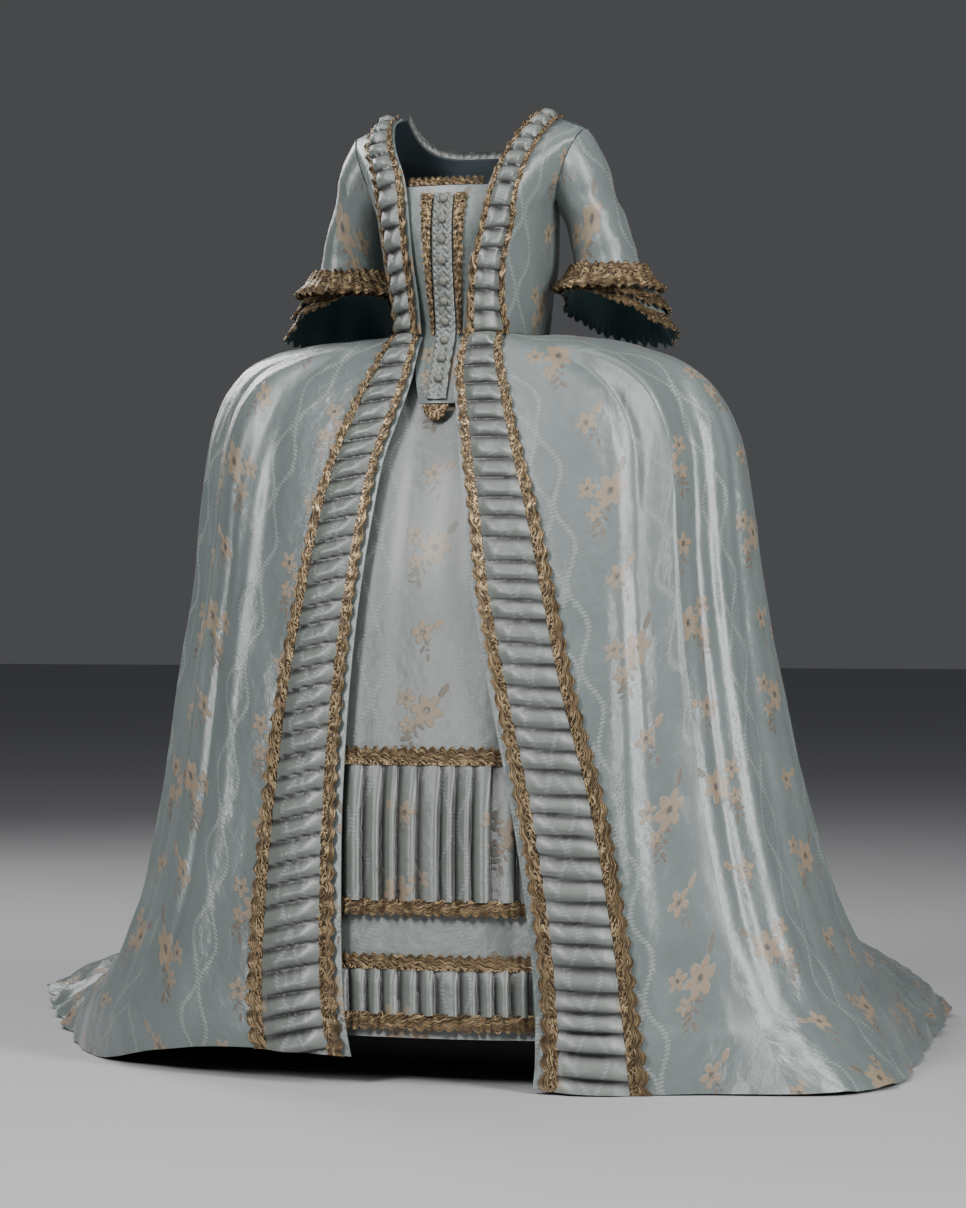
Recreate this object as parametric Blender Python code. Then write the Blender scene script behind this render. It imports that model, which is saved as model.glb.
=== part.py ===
"""Robe a la francaise: open gown with sack back and train, stomacher and petticoat.

Metres, +Z up, the front faces -Y, +X is the wearer's left. Heights in the tables are above the floor.
The origin is in the middle of the shoulder line, where the wearer holds the gown up.
"""
import math

import bmesh
import bpy
from mathutils import Vector

# ---- driving sizes -------------------------------------------------------------------------
SHOULDER_LINE = Vector((0.0, 0.026, 1.360))   # middle of the shoulders, becomes the origin
SILK = 0.0020                                 # wall of lined silk
LACE = 0.0016                                 # wall of metal lace
SEAM = 0.0003                                 # gap between pieces at a seam
HALF_SEAM = SEAM / 2
PETTICOAT_INSET = 0.018                       # petticoat under the gown
PETTICOAT_BACK = 1.12                         # its depth behind, to its depth in front
TRIM_OUT = 0.0042                             # trimmings off the middle of the cloth they lie on
WAIST_CLEAR = 0.0025                          # more at the top, where the bodice and skirt turn
ROBING_PUFF = 0.0060                          # rise of each robing pleat
PLEAT_PITCH = 0.030                           # along the robing
PLEAT_CREST = 0.62                            # where along its pitch a pleat is highest
ROBING_COLUMNS = (1.03, 1.97)                 # columns of a front panel that each strip covers
INNER_LACE_COLUMNS = (0.30, 0.97)
OUTER_LACE_COLUMNS = (2.05, 3.0)
ROBING_WAIST_GAP = 0.06                       # rows left free above the waist
ROBING_SKIRT_START = 0.35                     # row where the skirt's robing starts
STEP = 0.002                                  # for slopes of a surface
PANEL_SPANS = 5                               # columns of a front panel beyond its robing
SIDE_SPANS = 8                                # columns of a side panel

SIDES = (("left", 1), ("right", -1))
FRONT_SEAM = 52.0                             # degrees from centre front
BACK_SEAM = 118.0
BACK_ARC = 180.0 - BACK_SEAM

SILK_BLUE = (0.26, 0.33, 0.33, 1.0)
PETTICOAT_BLUE = (0.24, 0.30, 0.29, 1.0)
LINING_BLUE = (0.012, 0.022, 0.028, 1.0)
GOLD = (0.28, 0.17, 0.07, 1.0)

# ---- the gown's skirt: one row for each ring, waist to hem ------------------------------------
# row, front_z, side_z, back_z, left_width, right_width, front_depth, back_depth, squareness, spread
SKIRT = (
    (0, 1.040, 1.045, 1.045, 0.100, 0.100, 0.104, 0.160, 2.2, 0.00),
    (1, 1.015, 1.043, 1.025, 0.165, 0.168, 0.119, 0.172, 2.3, 0.00),
    (2, 0.985, 1.034, 1.000, 0.233, 0.240, 0.133, 0.185, 2.4, 0.00),
    (3, 0.955, 1.012, 0.965, 0.304, 0.311, 0.148, 0.200, 2.4, 0.00),
    (4, 0.915, 0.972, 0.920, 0.358, 0.351, 0.166, 0.220, 2.5, 0.00),
    (5, 0.860, 0.908, 0.860, 0.396, 0.374, 0.190, 0.248, 2.5, 0.00),
    (6, 0.790, 0.820, 0.780, 0.413, 0.387, 0.213, 0.282, 2.5, 0.00),
    (7, 0.680, 0.690, 0.670, 0.427, 0.396, 0.240, 0.325, 2.5, 0.00),
    (8, 0.540, 0.545, 0.540, 0.450, 0.418, 0.262, 0.375, 2.5, 0.00),
    (9, 0.380, 0.385, 0.400, 0.478, 0.441, 0.282, 0.435, 2.4, 0.02),
    (10, 0.220, 0.228, 0.260, 0.510, 0.472, 0.297, 0.505, 2.4, 0.09),
    (11, 0.105, 0.122, 0.170, 0.540, 0.512, 0.305, 0.570, 2.4, 0.25),
    (12, 0.062, 0.078, 0.120, 0.556, 0.540, 0.309, 0.600, 2.4, 0.48),
    (13, 0.028, 0.038, 0.064, 0.564, 0.556, 0.312, 0.620, 2.4, 0.74),
    (14, 0.000, 0.000, 0.000, 0.570, 0.570, 0.315, 0.630, 2.4, 1.00),
)
LAST_ROW = 14
LIFT_START = 0.380                            # below this the cloth rises with its hem

# the hem on the floor, right round; angle 0 is centre front and the right side is negative
# angle, x, y, z
HEM = (
    (-180, -0.03, 1.150, 0.0025),
    (-165, -0.380, 1.110, 0.0025),
    (-150, -0.740, 0.990, 0.0025),
    (-138, -0.915, 0.850, 0.0025),
    (-128, -0.950, 0.680, 0.0025),
    (-115, -0.860, 0.465, 0.0025),
    (-100, -0.745, 0.240, 0.0025),
    (-80, -0.600, -0.020, 0.0025),
    (-62, -0.505, -0.150, 0.0030),
    (-40, -0.380, -0.240, 0.0300),
    (-20, -0.233, -0.292, 0.0450),
    (0, 0.000, -0.317, 0.0350),
    (20, 0.233, -0.312, 0.0025),
    (40, 0.420, -0.262, 0.0025),
    (60, 0.590, -0.207, 0.0025),
    (75, 0.645, -0.090, 0.0025),
    (90, 0.640, 0.070, 0.0025),
    (105, 0.618, 0.290, 0.0025),
    (120, 0.597, 0.520, 0.0025),
    (133, 0.575, 0.740, 0.0025),
    (143, 0.530, 0.870, 0.0025),
    (153, 0.420, 0.990, 0.0025),
    (166, 0.210, 1.100, 0.0025),
    (180, -0.030, 1.150, 0.0025),
)

# front edges of the skirt and the robing's outer edge, as x at each ring
# row, left_in, left_out, right_in, right_out
SKIRT_EDGE = (
    (0, 0.025, 0.080, 0.036, 0.080),
    (1, 0.022, 0.086, 0.037, 0.092),
    (2, 0.022, 0.096, 0.039, 0.104),
    (3, 0.028, 0.108, 0.043, 0.117),
    (4, 0.037, 0.122, 0.052, 0.130),
    (5, 0.048, 0.142, 0.064, 0.147),
    (6, 0.062, 0.167, 0.071, 0.163),
    (7, 0.080, 0.198, 0.081, 0.179),
    (8, 0.112, 0.232, 0.090, 0.201),
    (9, 0.148, 0.276, 0.093, 0.216),
    (10, 0.175, 0.305, 0.089, 0.222),
    (11, 0.188, 0.320, 0.085, 0.222),
    (12, 0.192, 0.326, 0.084, 0.221),
    (13, 0.195, 0.330, 0.083, 0.220),
    (14, 0.196, 0.335, 0.083, 0.219),
)

# the largest folds of the skirt, each a soft ridge or trough running down
# side, angle_top, angle_low, half_width (degrees), height (m, minus for a trough), first_row, last_row
FOLDS = (
    (1, 62, 46, 7, 0.009, 1, 9),
    (1, 54, 36, 6, -0.009, 1, 8),
    (1, 76, 86, 9, 0.010, 2, 10),
    (1, 70, 66, 7, -0.008, 3, 10),
    (1, 96, 104, 7, -0.012, 4, 13),
    (-1, 60, 42, 7, 0.008, 1, 8),
    (-1, 52, 32, 6, -0.007, 1, 8),
    (-1, 78, 84, 9, 0.009, 2, 9),
    (-1, 94, 104, 8, -0.012, 4, 13),
)

ROBING_LINES = (0.0, 0.17, 0.86, 1.0)         # edge, robing, outer lace, outer edge, as shares

# ---- the bodice fronts: one row for each line from the neck edge round to the back --------------
# row, left_in, left_out, right_in, right_out, edge_y, edge_z, turn_x, turn_y, turn_z, end_x, end_y, end_z
BODICE = (
    (0, 0.102, 0.138, 0.106, 0.140, 0.024, 1.3705, 0.138, 0.026, 1.361, 0.1706, 0.026, 1.3445),
    (1, 0.096, 0.134, 0.103, 0.139, -0.020, 1.353, 0.138, -0.018, 1.347, 0.1690, 0.005, 1.3395),
    (2, 0.083, 0.123, 0.087, 0.134, -0.065, 1.315, 0.130, -0.070, 1.310, 0.1615, -0.018, 1.3197),
    (3, 0.070, 0.110, 0.064, 0.112, -0.098, 1.272, 0.124, -0.098, 1.270, 0.1485, -0.027, 1.2834),
    (4, 0.061, 0.101, 0.054, 0.103, -0.112, 1.235, 0.128, -0.106, 1.234, 0.1345, -0.004, 1.2455),
    (5, 0.051, 0.096, 0.049, 0.097, -0.117, 1.195, 0.128, -0.100, 1.202, 0.1305, 0.028, 1.2345),
    (6, 0.040, 0.084, 0.045, 0.090, -0.117, 1.150, 0.130, -0.095, 1.150, 0.1180, 0.068, 1.150),
    (7, 0.031, 0.079, 0.039, 0.083, -0.110, 1.095, 0.122, -0.090, 1.095, 0.1040, 0.075, 1.095),
    (8, 0.0255, 0.0805, 0.0365, 0.0805, -0.103, 1.0445, 0.114, -0.086, 1.0475, 0.091, 0.076, 1.0495),
)

# ---- the fitted back inside the neck, half of it ---------------------------------------------------
# row, centre_y, centre_z, turn_x, turn_y, turn_z, end_x, end_y, end_z
BACK = (
    (0, 0.074, 1.3120, 0.095, 0.080, 1.312, 0.1000, 0.0285, 1.3705),
    (1, 0.076, 1.2980, 0.105, 0.090, 1.308, 0.1704, 0.0285, 1.3445),
    (2, 0.080, 1.2750, 0.105, 0.096, 1.278, 0.1510, 0.0810, 1.2900),
    (3, 0.083, 1.2400, 0.100, 0.098, 1.243, 0.1345, 0.0595, 1.2455),
    (4, 0.084, 1.2050, 0.105, 0.098, 1.208, 0.1305, 0.0305, 1.2345),
    (5, 0.085, 1.1500, 0.080, 0.095, 1.150, 0.1170, 0.0710, 1.150),
    (6, 0.080, 1.0950, 0.065, 0.090, 1.095, 0.1030, 0.0778, 1.095),
    (7, 0.078, 1.0500, 0.060, 0.086, 1.050, 0.0895, 0.0785, 1.050),
)

# the ruched band on the back neck edge
RUCHE_REACH = 0.97                            # share of the neck edge that it covers
RUCHE_TOP = 0.0135                            # above the neck edge
RUCHE_FOOT = 0.0025
RUCHE_BACK = 0.004
RUCHE_THICK = 0.008

# ---- the sack above the waist -----------------------------------------------------------------------
# row, edge_x, edge_y, edge_z, centre_y, centre_z
SACK = (
    (0, 0.096, 0.0710, 1.3250, 0.087, 1.305),
    (1, 0.106, 0.1080, 1.2850, 0.105, 1.275),
    (2, 0.103, 0.1200, 1.2200, 0.122, 1.212),
    (3, 0.097, 0.1240, 1.1400, 0.140, 1.135),
    (4, 0.092, 0.1100, 1.0800, 0.152, 1.080),
)
SACK_ROWS = 5
# lines of the two box pleats, from centre back to the panel's edge: share, relief
BOX_PLEATS = (
    (0.00, 0.0),
    (0.07, 1.0),
    (0.44, 1.0),
    (0.51, 0.0),
    (0.58, 0.8),
    (0.93, 0.8),
    (1.00, 0.0),
)
PLEAT_RISE = 0.011

# ---- sleeves and cuffs --------------------------------------------------------------------------
# row, centre_x, centre_y, centre_z, tilt (degrees), half_height, half_depth
SLEEVE = (
    (0, 0.1530, 0.028, 1.290, 20, 0.0580, 0.055),
    (1, 0.1663, 0.034, 1.263, 42, 0.0485, 0.056),
    (2, 0.1723, 0.042, 1.2354, 66, 0.0400, 0.056),
    (3, 0.1835, 0.050, 1.207, 82, 0.0420, 0.056),
    (4, 0.1915, 0.055, 1.170, 88, 0.0450, 0.054),
    (5, 0.1980, 0.056, 1.136, 90, 0.0470, 0.052),
)
SLEEVE_COLUMNS = 12
# name, first radius out from the sleeve, mean length, extra length behind
CUFFS = (
    ("lower", 0.0000, 0.070, 0.044),
    ("upper", 0.0070, 0.046, 0.024),
)
CUFF_FOLDS = 7
CUFF_COLUMNS = 14
CUFF_FALL = math.radians(50)       # direction of the longest part, behind and a little outward
CUFF_FLARE = 0.50
CUFF_WAVE = 0.0065
CUFF_LACE = 0.020                  # width of the lace at the edge
CUFF_SEAM = 0.0020                 # flounces hang this far below the sleeve's edge
HEADING_ABOVE = 0.014              # the heading starts this far above the sleeve's edge
HEADING_DROP = 0.036
HEADING_CLEAR = 0.0050
HEADING_FLARE = 0.0300

# ---- stomacher ---------------------------------------------------------------------------------
# row, z, half_width, edge_y, centre_y
STOMACHER = (
    (0, 1.2550, 0.0700, -0.0945, -0.1020),
    (1, 1.2050, 0.0620, -0.1065, -0.1150),
    (2, 1.1500, 0.0550, -0.1045, -0.1150),
    (3, 1.0950, 0.0480, -0.0965, -0.1060),
    (4, 1.0430, 0.0440, -0.0880, -0.1000),
    (5, 0.9850, 0.0380, -0.1215, -0.1260),
    (6, 0.9430, 0.0260, -0.1430, -0.1450),
)
STOMACHER_LAST = 6
STOMACHER_TRIM = 0.0036                       # strips off the middle of the stomacher
PLACKET_HALF = 0.014
STRIP_START = 0.25                            # row where the strips start
PLACKET_END = 5.9
LACE_INNER = 0.0165                           # lace strips beside the placket, from its middle
LACE_OUTER = 0.036
LACE_TAPER = 0.0037                           # narrower by this at each row
TOP_LACE_SHARE = 0.80                         # share of the stomacher's width
TOP_LACE_HEIGHT = 0.0125
EDGE_GAP = 0.0012                             # lace off the stomacher's top and bottom edges
TAB_BACK = 0.002                              # the tab hangs behind the stomacher's face
TAB_LEAN = 0.28
# the tab's outline: down from the stomacher's point, half width
TAB = ((EDGE_GAP, 0.019), (0.012, 0.019), (0.020, 0.014), (0.0245, 0.006))
BUTTONS = 10
BUTTON_TOP = 1.234
BUTTON_PITCH = 0.0286
BUTTON_RADIUS = 0.0056
BUTTON_HEIGHT = 0.0045
BUTTON_SIDES = 8
BUTTON_RINGS = ((1.0, 0.2), (0.62, 0.85))   # share of radius, share of height

# ---- petticoat flounces: name, head lace top, head, edge, edge lace bottom (heights) ----------------
FLOUNCES = (
    ("flounce_upper", 0.470, 0.448, 0.257, 0.236),
    ("flounce_lower", 0.185, 0.167, 0.101, 0.078),
)
FLOUNCE_PLEATS = 15
FLOUNCE_RISE = 0.0060
FLOUNCE_ENDS = (-22.0, 34.0)                  # degrees from centre front
GATHER_DROP = 0.05                            # the pleats open this far below the head
GATHER_RISE = 0.4                             # their rise at the head, as a share

# ---- petticoat: rows of the skirt's table that it has rings at, and its panels -----------------------
PETTICOAT_ROWS = (0.5, 1.3, 2.2, 3.1, 4, 5, 6.2, 8, 10, 11.8)
# panel, first seam and last seam in degrees from centre front, columns
PETTICOAT_PANELS = (
    ("front", -62.0, 62.0, 8),
    ("side_left", 62.0, 112.0, 4),
    ("back", 112.0, 248.0, 6),
    ("side_right", 248.0, 298.0, 4),
)


def read(table, at):
    """The columns of a table at a value of its first column, on smooth curves through the rows."""
    last = len(table) - 2
    low = 0
    while low < last and at >= table[low + 1][0]:
        low += 1
    span = table[low + 1][0] - table[low][0]
    part = (at - table[low][0]) / span
    before = table[max(low - 1, 0)]
    after = table[min(low + 2, last + 1)]
    here = table[low]
    there = table[low + 1]
    values = []
    for column in range(1, len(here)):
        slope_here = (there[column] - before[column]) / (there[0] - before[0]) * span
        slope_there = (after[column] - here[column]) / (after[0] - here[0]) * span
        p2 = part * part
        p3 = p2 * part
        values.append(
            here[column] * (2 * p3 - 3 * p2 + 1)
            + slope_here * (p3 - 2 * p2 + part)
            + there[column] * (3 * p2 - 2 * p3)
            + slope_there * (p3 - p2)
        )
    return values


def power(value, exponent):
    return math.copysign(abs(value) ** exponent, value)


def ring(angle, row, back_scale=None):
    """A point of the skirt's ring at this row, before folds and train; angle in degrees."""
    front_z, side_z, back_z, left, right, front, back, square, _ = read(SKIRT, row)
    sine = math.sin(math.radians(angle))
    cosine = math.cos(math.radians(angle))
    wide = left if sine > 0 else right
    if back_scale:
        back = front * back_scale
    depth = front if cosine > 0 else back
    end_z = front_z if cosine > 0 else back_z
    return Vector((
        wide * power(sine, 2 / square),
        -depth * power(cosine, 2 / square),
        side_z + (end_z - side_z) * cosine * cosine,
    ))


def slope_out(surface, u, v, side=1):
    """The direction out of a surface whose u runs to the wearer's left and v runs down."""
    along = surface(u + STEP, v) - surface(u - STEP, v)
    down = surface(u, v + STEP) - surface(u, v - STEP)
    return down.cross(along).normalized() * side


def fold_height(angle, row):
    """How far the skirt's folds stand out here."""
    total = 0.0
    for side, top, low, half, height, first, last in FOLDS:
        if angle * side <= 0 or not first < row < last:
            continue
        part = (row - first) / (last - first)
        middle = top + (low - top) * math.sqrt(part)
        distance = (abs(angle) - middle) / half
        total += height * math.sin(math.pi * part) * math.exp(-distance * distance)
    return total


def skirt(angle, row):
    """A point on the middle of the gown's skirt."""
    point = ring(angle, row)
    height = fold_height(angle, row)
    if height:
        point += slope_out(ring, angle, row) * height
    spread = read(SKIRT, row)[-1]
    hem = Vector(read(HEM, angle))
    height = point.z
    if height < LIFT_START:
        height = hem.z + height * (LIFT_START - hem.z) / LIFT_START
    point = point.lerp(hem, spread)
    point.z = height
    return point


def petticoat(angle, row):
    """A point on the middle of the petticoat, which hangs straight inside the gown."""
    point = ring(angle, row, PETTICOAT_BACK)
    share = 1 - PETTICOAT_INSET / math.hypot(point.x, point.y)
    drop = PETTICOAT_INSET * (1 - row / LAST_ROW)
    return Vector((point.x * share, point.y * share, point.z - drop))


def seam_angle(row):
    """Half a seam's gap, in degrees round the skirt at this row."""
    return math.degrees(HALF_SEAM / read(SKIRT, row)[3])


def angle_at(x, row, side):
    """The angle from centre front at which the skirt's ring has this x."""
    values = read(SKIRT, row)
    wide = values[3] if side > 0 else values[4]
    square = values[7]
    return math.degrees(math.asin(min(1.0, x / wide) ** (square / 2)))


def skirt_front(side):
    """The skirt front as a surface of column and row: columns 0 to 3 lie under the robing."""
    def surface(column, row):
        left_in, left_out, right_in, right_out = read(SKIRT_EDGE, row)
        inner = left_in if side > 0 else right_in
        outer = left_out if side > 0 else right_out
        if column <= 3:
            index = min(max(int(column), 0), 2)
            share = ROBING_LINES[index]
            share += (ROBING_LINES[index + 1] - share) * (column - index)
            angle = angle_at(inner + (outer - inner) * share, row, side)
        else:
            start = angle_at(outer, row, side)
            end = FRONT_SEAM - seam_angle(row)
            angle = start + (end - start) * (column - 3) / PANEL_SPANS
        return skirt(side * angle, row)

    return surface


def bodice_front(side):
    """The bodice front as a surface of column and row, like the skirt front."""
    def surface(column, row):
        values = read(BODICE, row)
        left_in, left_out, right_in, right_out, edge_y, edge_z = values[:6]
        inner = left_in if side > 0 else right_in
        outer = left_out if side > 0 else right_out
        edge = Vector((inner, edge_y, edge_z))
        turn = Vector(values[6:9])
        end = Vector(values[9:12])
        bend = edge.x - 2 * turn.x + end.x
        run = 2 * (turn.x - edge.x)
        outer_part = 2 * (outer - inner) / (run + math.sqrt(run * run + 4 * bend * (outer - inner)))
        if column <= 3:
            index = min(max(int(column), 0), 2)
            share = ROBING_LINES[index]
            share += (ROBING_LINES[index + 1] - share) * (column - index)
            part = outer_part * share
        else:
            part = outer_part + (1 - outer_part) * (column - 3) / PANEL_SPANS
        point = edge * (1 - part) ** 2 + turn * 2 * part * (1 - part) + end * part * part
        point.x *= side
        return point

    return surface


def back_surface(u, row):
    """The fitted back; u runs from the right seam at -1 to the left seam at 1."""
    values = read(BACK, row)
    centre = Vector((0.0, values[0], values[1]))
    turn = Vector(values[2:5])
    end = Vector(values[5:8])
    part = abs(u)
    flat = centre.copy()
    flat.x = turn.x * 0.5
    point = centre * (1 - part) ** 3 + flat * 3 * part * (1 - part) ** 2
    point += turn * 3 * part * part * (1 - part) + end * part ** 3
    point.x *= math.copysign(1, u)
    return point


def pleat_relief(share):
    for (low, low_rise), (high, high_rise) in zip(BOX_PLEATS, BOX_PLEATS[1:]):
        if share <= high:
            return low_rise + (high_rise - low_rise) * (share - low) / (high - low)
    return 0.0


def sack_plain(share, row):
    """Half of the sack without pleats; share runs from centre back at 0 to the edge at 1."""
    def upper(at):
        edge_x, edge_y, edge_z, centre_y, centre_z = read(SACK, at)
        curve = share * share
        return Vector((
            edge_x * share,
            centre_y + (edge_y - centre_y) * curve,
            centre_z + (edge_z - centre_z) * curve,
        ))

    def lower(at):
        return skirt(180.0 - BACK_ARC * share, at)

    if row <= SACK_ROWS - 1:
        return upper(row)
    if row < SACK_ROWS:
        return upper(SACK_ROWS - 1).lerp(lower(0), row - SACK_ROWS + 1)
    return lower(row - SACK_ROWS)


def sack(side):
    """The pleated sack half and the direction out; column is an index into BOX_PLEATS."""
    def plain(share, row):
        if side > 0:
            return sack_plain(share, row)
        if row < SACK_ROWS:
            point = sack_plain(share, row)
            if row > SACK_ROWS - 1:
                part = row - SACK_ROWS + 1
                upper = sack_plain(share, SACK_ROWS - 1)
                upper.x = -upper.x
                return upper.lerp(skirt(-180.0 + BACK_ARC * share, 0), part)
            point.x = -point.x
            return point
        return skirt(-180.0 + BACK_ARC * share, row - SACK_ROWS)

    def surface(column, row):
        index = min(max(int(column), 0), len(BOX_PLEATS) - 2)
        share = BOX_PLEATS[index][0]
        share += (BOX_PLEATS[index + 1][0] - share) * (column - index)
        gap = HALF_SEAM / (plain(1.0, row) - plain(0.0, row)).length
        share = gap + share * (1 - 2 * gap)
        point = plain(share, row)
        fade = min(1.0, max(0.0, 1.25 - row / (LAST_ROW + SACK_ROWS)))
        rise = PLEAT_RISE * fade * pleat_relief(share)
        out = slope_out(plain, share, row, -side)
        return point + out * rise, out

    return surface


def skirt_side(side):
    def surface(column, row):
        start = FRONT_SEAM + seam_angle(row)
        end = BACK_SEAM - seam_angle(row)
        angle = start + (end - start) * column / SIDE_SPANS
        return skirt(side * angle, row)

    return surface


def sleeve(side):
    def surface(angle, row):
        x, y, z, tilt, high, deep = read(SLEEVE, row)
        lean = math.radians(tilt)
        turn = math.radians(angle)
        centre = Vector((x, y, z))
        point = centre + Vector((math.sin(lean), 0, math.cos(lean))) * (high * math.cos(turn))
        point.y += deep * math.sin(turn)
        point.x *= side
        return point

    return surface


def cuff(side, first, mean, extra):
    """A flounce below the sleeve; v is 0 at its seam and 1 at its edge."""
    x, y, z, _, wide, deep = read(SLEEVE, len(SLEEVE) - 1)

    def surface(angle, v):
        turn = math.radians(angle)
        length = mean + extra * math.cos(turn - CUFF_FALL)
        wave = CUFF_WAVE * v * math.cos(CUFF_FOLDS * turn)
        out = first + length * v * CUFF_FLARE + wave
        drop = length * v * math.sqrt(1 - CUFF_FLARE * CUFF_FLARE)
        return Vector((
            side * (x + (wide + out) * math.cos(turn)),
            y + (deep + out) * math.sin(turn),
            z - CUFF_SEAM - drop,
        ))

    return surface


def cuff_heading(side):
    """The gathered lace that stands round the sleeve over both flounces; v runs down."""
    x, y, z, _, wide, deep = read(SLEEVE, len(SLEEVE) - 1)

    def surface(angle, v):
        turn = math.radians(angle)
        out = HEADING_CLEAR + HEADING_FLARE * v
        return Vector((
            side * (x + (wide + out) * math.cos(turn)),
            y + (deep + out) * math.sin(turn),
            z + HEADING_ABOVE - HEADING_DROP * v,
        ))

    return surface


def stomacher_surface(u, row):
    """The stomacher; u runs from the right edge at -1 to the left edge at 1."""
    z, half, edge_y, centre_y = read(STOMACHER, row)
    return Vector((half * u, centre_y + (edge_y - centre_y) * u * u, z))


# ---- mesh making --------------------------------------------------------------------------------
def material(name, colour, roughness, metallic):
    made = bpy.data.materials.get(name) or bpy.data.materials.new(name)
    made.use_nodes = True
    shader = made.node_tree.nodes["Principled BSDF"]
    shader.inputs["Base Color"].default_value = colour
    shader.inputs["Roughness"].default_value = roughness
    shader.inputs["Metallic"].default_value = metallic
    made.diffuse_color = colour
    return made


def silk():
    return material("brocaded_silk", SILK_BLUE, 0.38, 0.0)


def petticoat_silk():
    return material("petticoat_silk", PETTICOAT_BLUE, 0.42, 0.0)


def gold_lace():
    return material("gold_lace", GOLD, 0.45, 0.7)


def lining():
    return material("blue_lining", LINING_BLUE, 0.7, 0.0)


def grid_of(surface, columns, rows, side=1):
    """Rows of (point, direction out) at the given columns and rows of a surface."""
    return [[(surface(c, r), slope_out(surface, c, r, side)) for c in columns] for r in rows]


def steps(first, last, count):
    return [first + (last - first) * i / count for i in range(count + 1)]


def lay_on(grid, columns, rows, out):
    """A grid on a panel: bilinear between the panel's own points, moved out."""
    made = []
    for row in rows:
        r = min(int(row), len(grid) - 2)
        line = []
        for column in columns:
            c = min(int(column), len(grid[0]) - 2)
            values = []
            for k in (0, 1):
                top = grid[r][c][k].lerp(grid[r][c + 1][k], column - c)
                low = grid[r + 1][c][k].lerp(grid[r + 1][c + 1][k], column - c)
                values.append(top.lerp(low, row - r))
            direction = values[1].normalized()
            line.append((values[0] + direction * out(column, row), direction))
        made.append(line)
    return made


def wall(name, grid, thickness, finish, closed=False):
    """A wall of the given thickness, half of it on each side of the grid's points."""
    mesh = bpy.data.meshes.new(name)
    shape = bmesh.new()
    skins = []
    for way in (0.5, -0.5):
        skin = []
        for line in grid:
            skin.append([shape.verts.new(p + n * (thickness * way) - SHOULDER_LINE) for p, n in line])
        skins.append(skin)
    outer, inner = skins
    rows = len(grid)
    columns = len(grid[0])
    spans = columns if closed else columns - 1
    for r in range(rows - 1):
        for c in range(spans):
            d = (c + 1) % columns
            shape.faces.new((outer[r][c], outer[r + 1][c], outer[r + 1][d], outer[r][d]))
            shape.faces.new((inner[r][c], inner[r][d], inner[r + 1][d], inner[r + 1][c]))
    for c in range(spans):
        d = (c + 1) % columns
        shape.faces.new((outer[0][c], outer[0][d], inner[0][d], inner[0][c]))
        shape.faces.new((outer[-1][d], outer[-1][c], inner[-1][c], inner[-1][d]))
    if not closed:
        for r in range(rows - 1):
            shape.faces.new((outer[r + 1][0], outer[r][0], inner[r][0], inner[r + 1][0]))
            shape.faces.new((outer[r][-1], outer[r + 1][-1], inner[r + 1][-1], inner[r][-1]))
    turned = 0.0
    for line, below in zip(grid, grid[1:]):
        for (point, facing), (beside, _), (under, _) in zip(line, line[1:], below):
            turned += (under - point).cross(beside - point).dot(facing)
    if turned < 0:
        bmesh.ops.reverse_faces(shape, faces=shape.faces)
    bmesh.ops.triangulate(shape, faces=shape.faces)
    shape.to_mesh(mesh)
    shape.free()
    mesh.materials.append(finish)
    piece = bpy.data.objects.new(name, mesh)
    bpy.context.scene.collection.objects.link(piece)


def pleat_rows(grid, column, first, last, pitch):
    """Row stations of a pleated strip: each step between panel rows holds whole pleats."""
    stations = []
    for r in range(int(first), math.ceil(last)):
        low = max(r, first)
        high = min(r + 1, last)
        length = (grid[r + 1][column][0] - grid[r][column][0]).length * (high - low)
        count = max(1, round(length / pitch))
        for i in range(count):
            stations.append((low + (high - low) * i / count, 0.0))
            stations.append((low + (high - low) * (i + PLEAT_CREST) / count, 1.0))
    stations.append((last, 0.0))
    return stations


def robing(tag, side_name, grid, first, last):
    """The pleated robing on a front and the lace on both of its edges."""
    stations = pleat_rows(grid, 1, first, last, PLEAT_PITCH)
    rise = dict(stations)
    rows = [row for row, _ in stations]

    def flat(column, row):
        return TRIM_OUT + WAIST_CLEAR * max(0.0, 1 - row)

    def puff(column, row):
        return flat(column, row) + ROBING_PUFF * rise[row]

    wall(f"robing_{tag}_{side_name}", lay_on(grid, ROBING_COLUMNS, rows, puff), SILK, silk())
    rows = [first] + [row for row in range(len(grid)) if first < row < last] + [last]
    for edge, columns in (("inner", INNER_LACE_COLUMNS), ("outer", OUTER_LACE_COLUMNS)):
        wall(f"lace_{edge}_{tag}_{side_name}", lay_on(grid, columns, rows, flat), LACE, gold_lace())


def make_gown():
    for name, side in SIDES:
        front_columns = range(len(ROBING_LINES) + PANEL_SPANS)
        grid = grid_of(bodice_front(side), front_columns, range(len(BODICE)), side)
        wall(f"bodice_front_{name}", grid, SILK, silk())
        robing("bodice", name, grid, 0, len(BODICE) - 1 - ROBING_WAIST_GAP)

        grid = grid_of(skirt_front(side), front_columns, range(LAST_ROW + 1), side)
        wall(f"skirt_front_{name}", grid, SILK, silk())
        robing("skirt", name, grid, ROBING_SKIRT_START, LAST_ROW)

        grid = grid_of(skirt_side(side), range(SIDE_SPANS + 1), range(LAST_ROW + 1), side)
        wall(f"skirt_side_{name}", grid, SILK, silk())

        surface = sack(side)
        rows = range(LAST_ROW + SACK_ROWS + 1)
        grid = [[surface(column, row) for column in range(len(BOX_PLEATS))] for row in rows]
        wall(f"sack_back_{name}", grid, SILK, silk())

    grid = grid_of(back_surface, steps(-1, 1, 6), range(len(BACK)), -1)
    wall("back_lining", grid, SILK, lining())
    make_neck_ruche()


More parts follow.
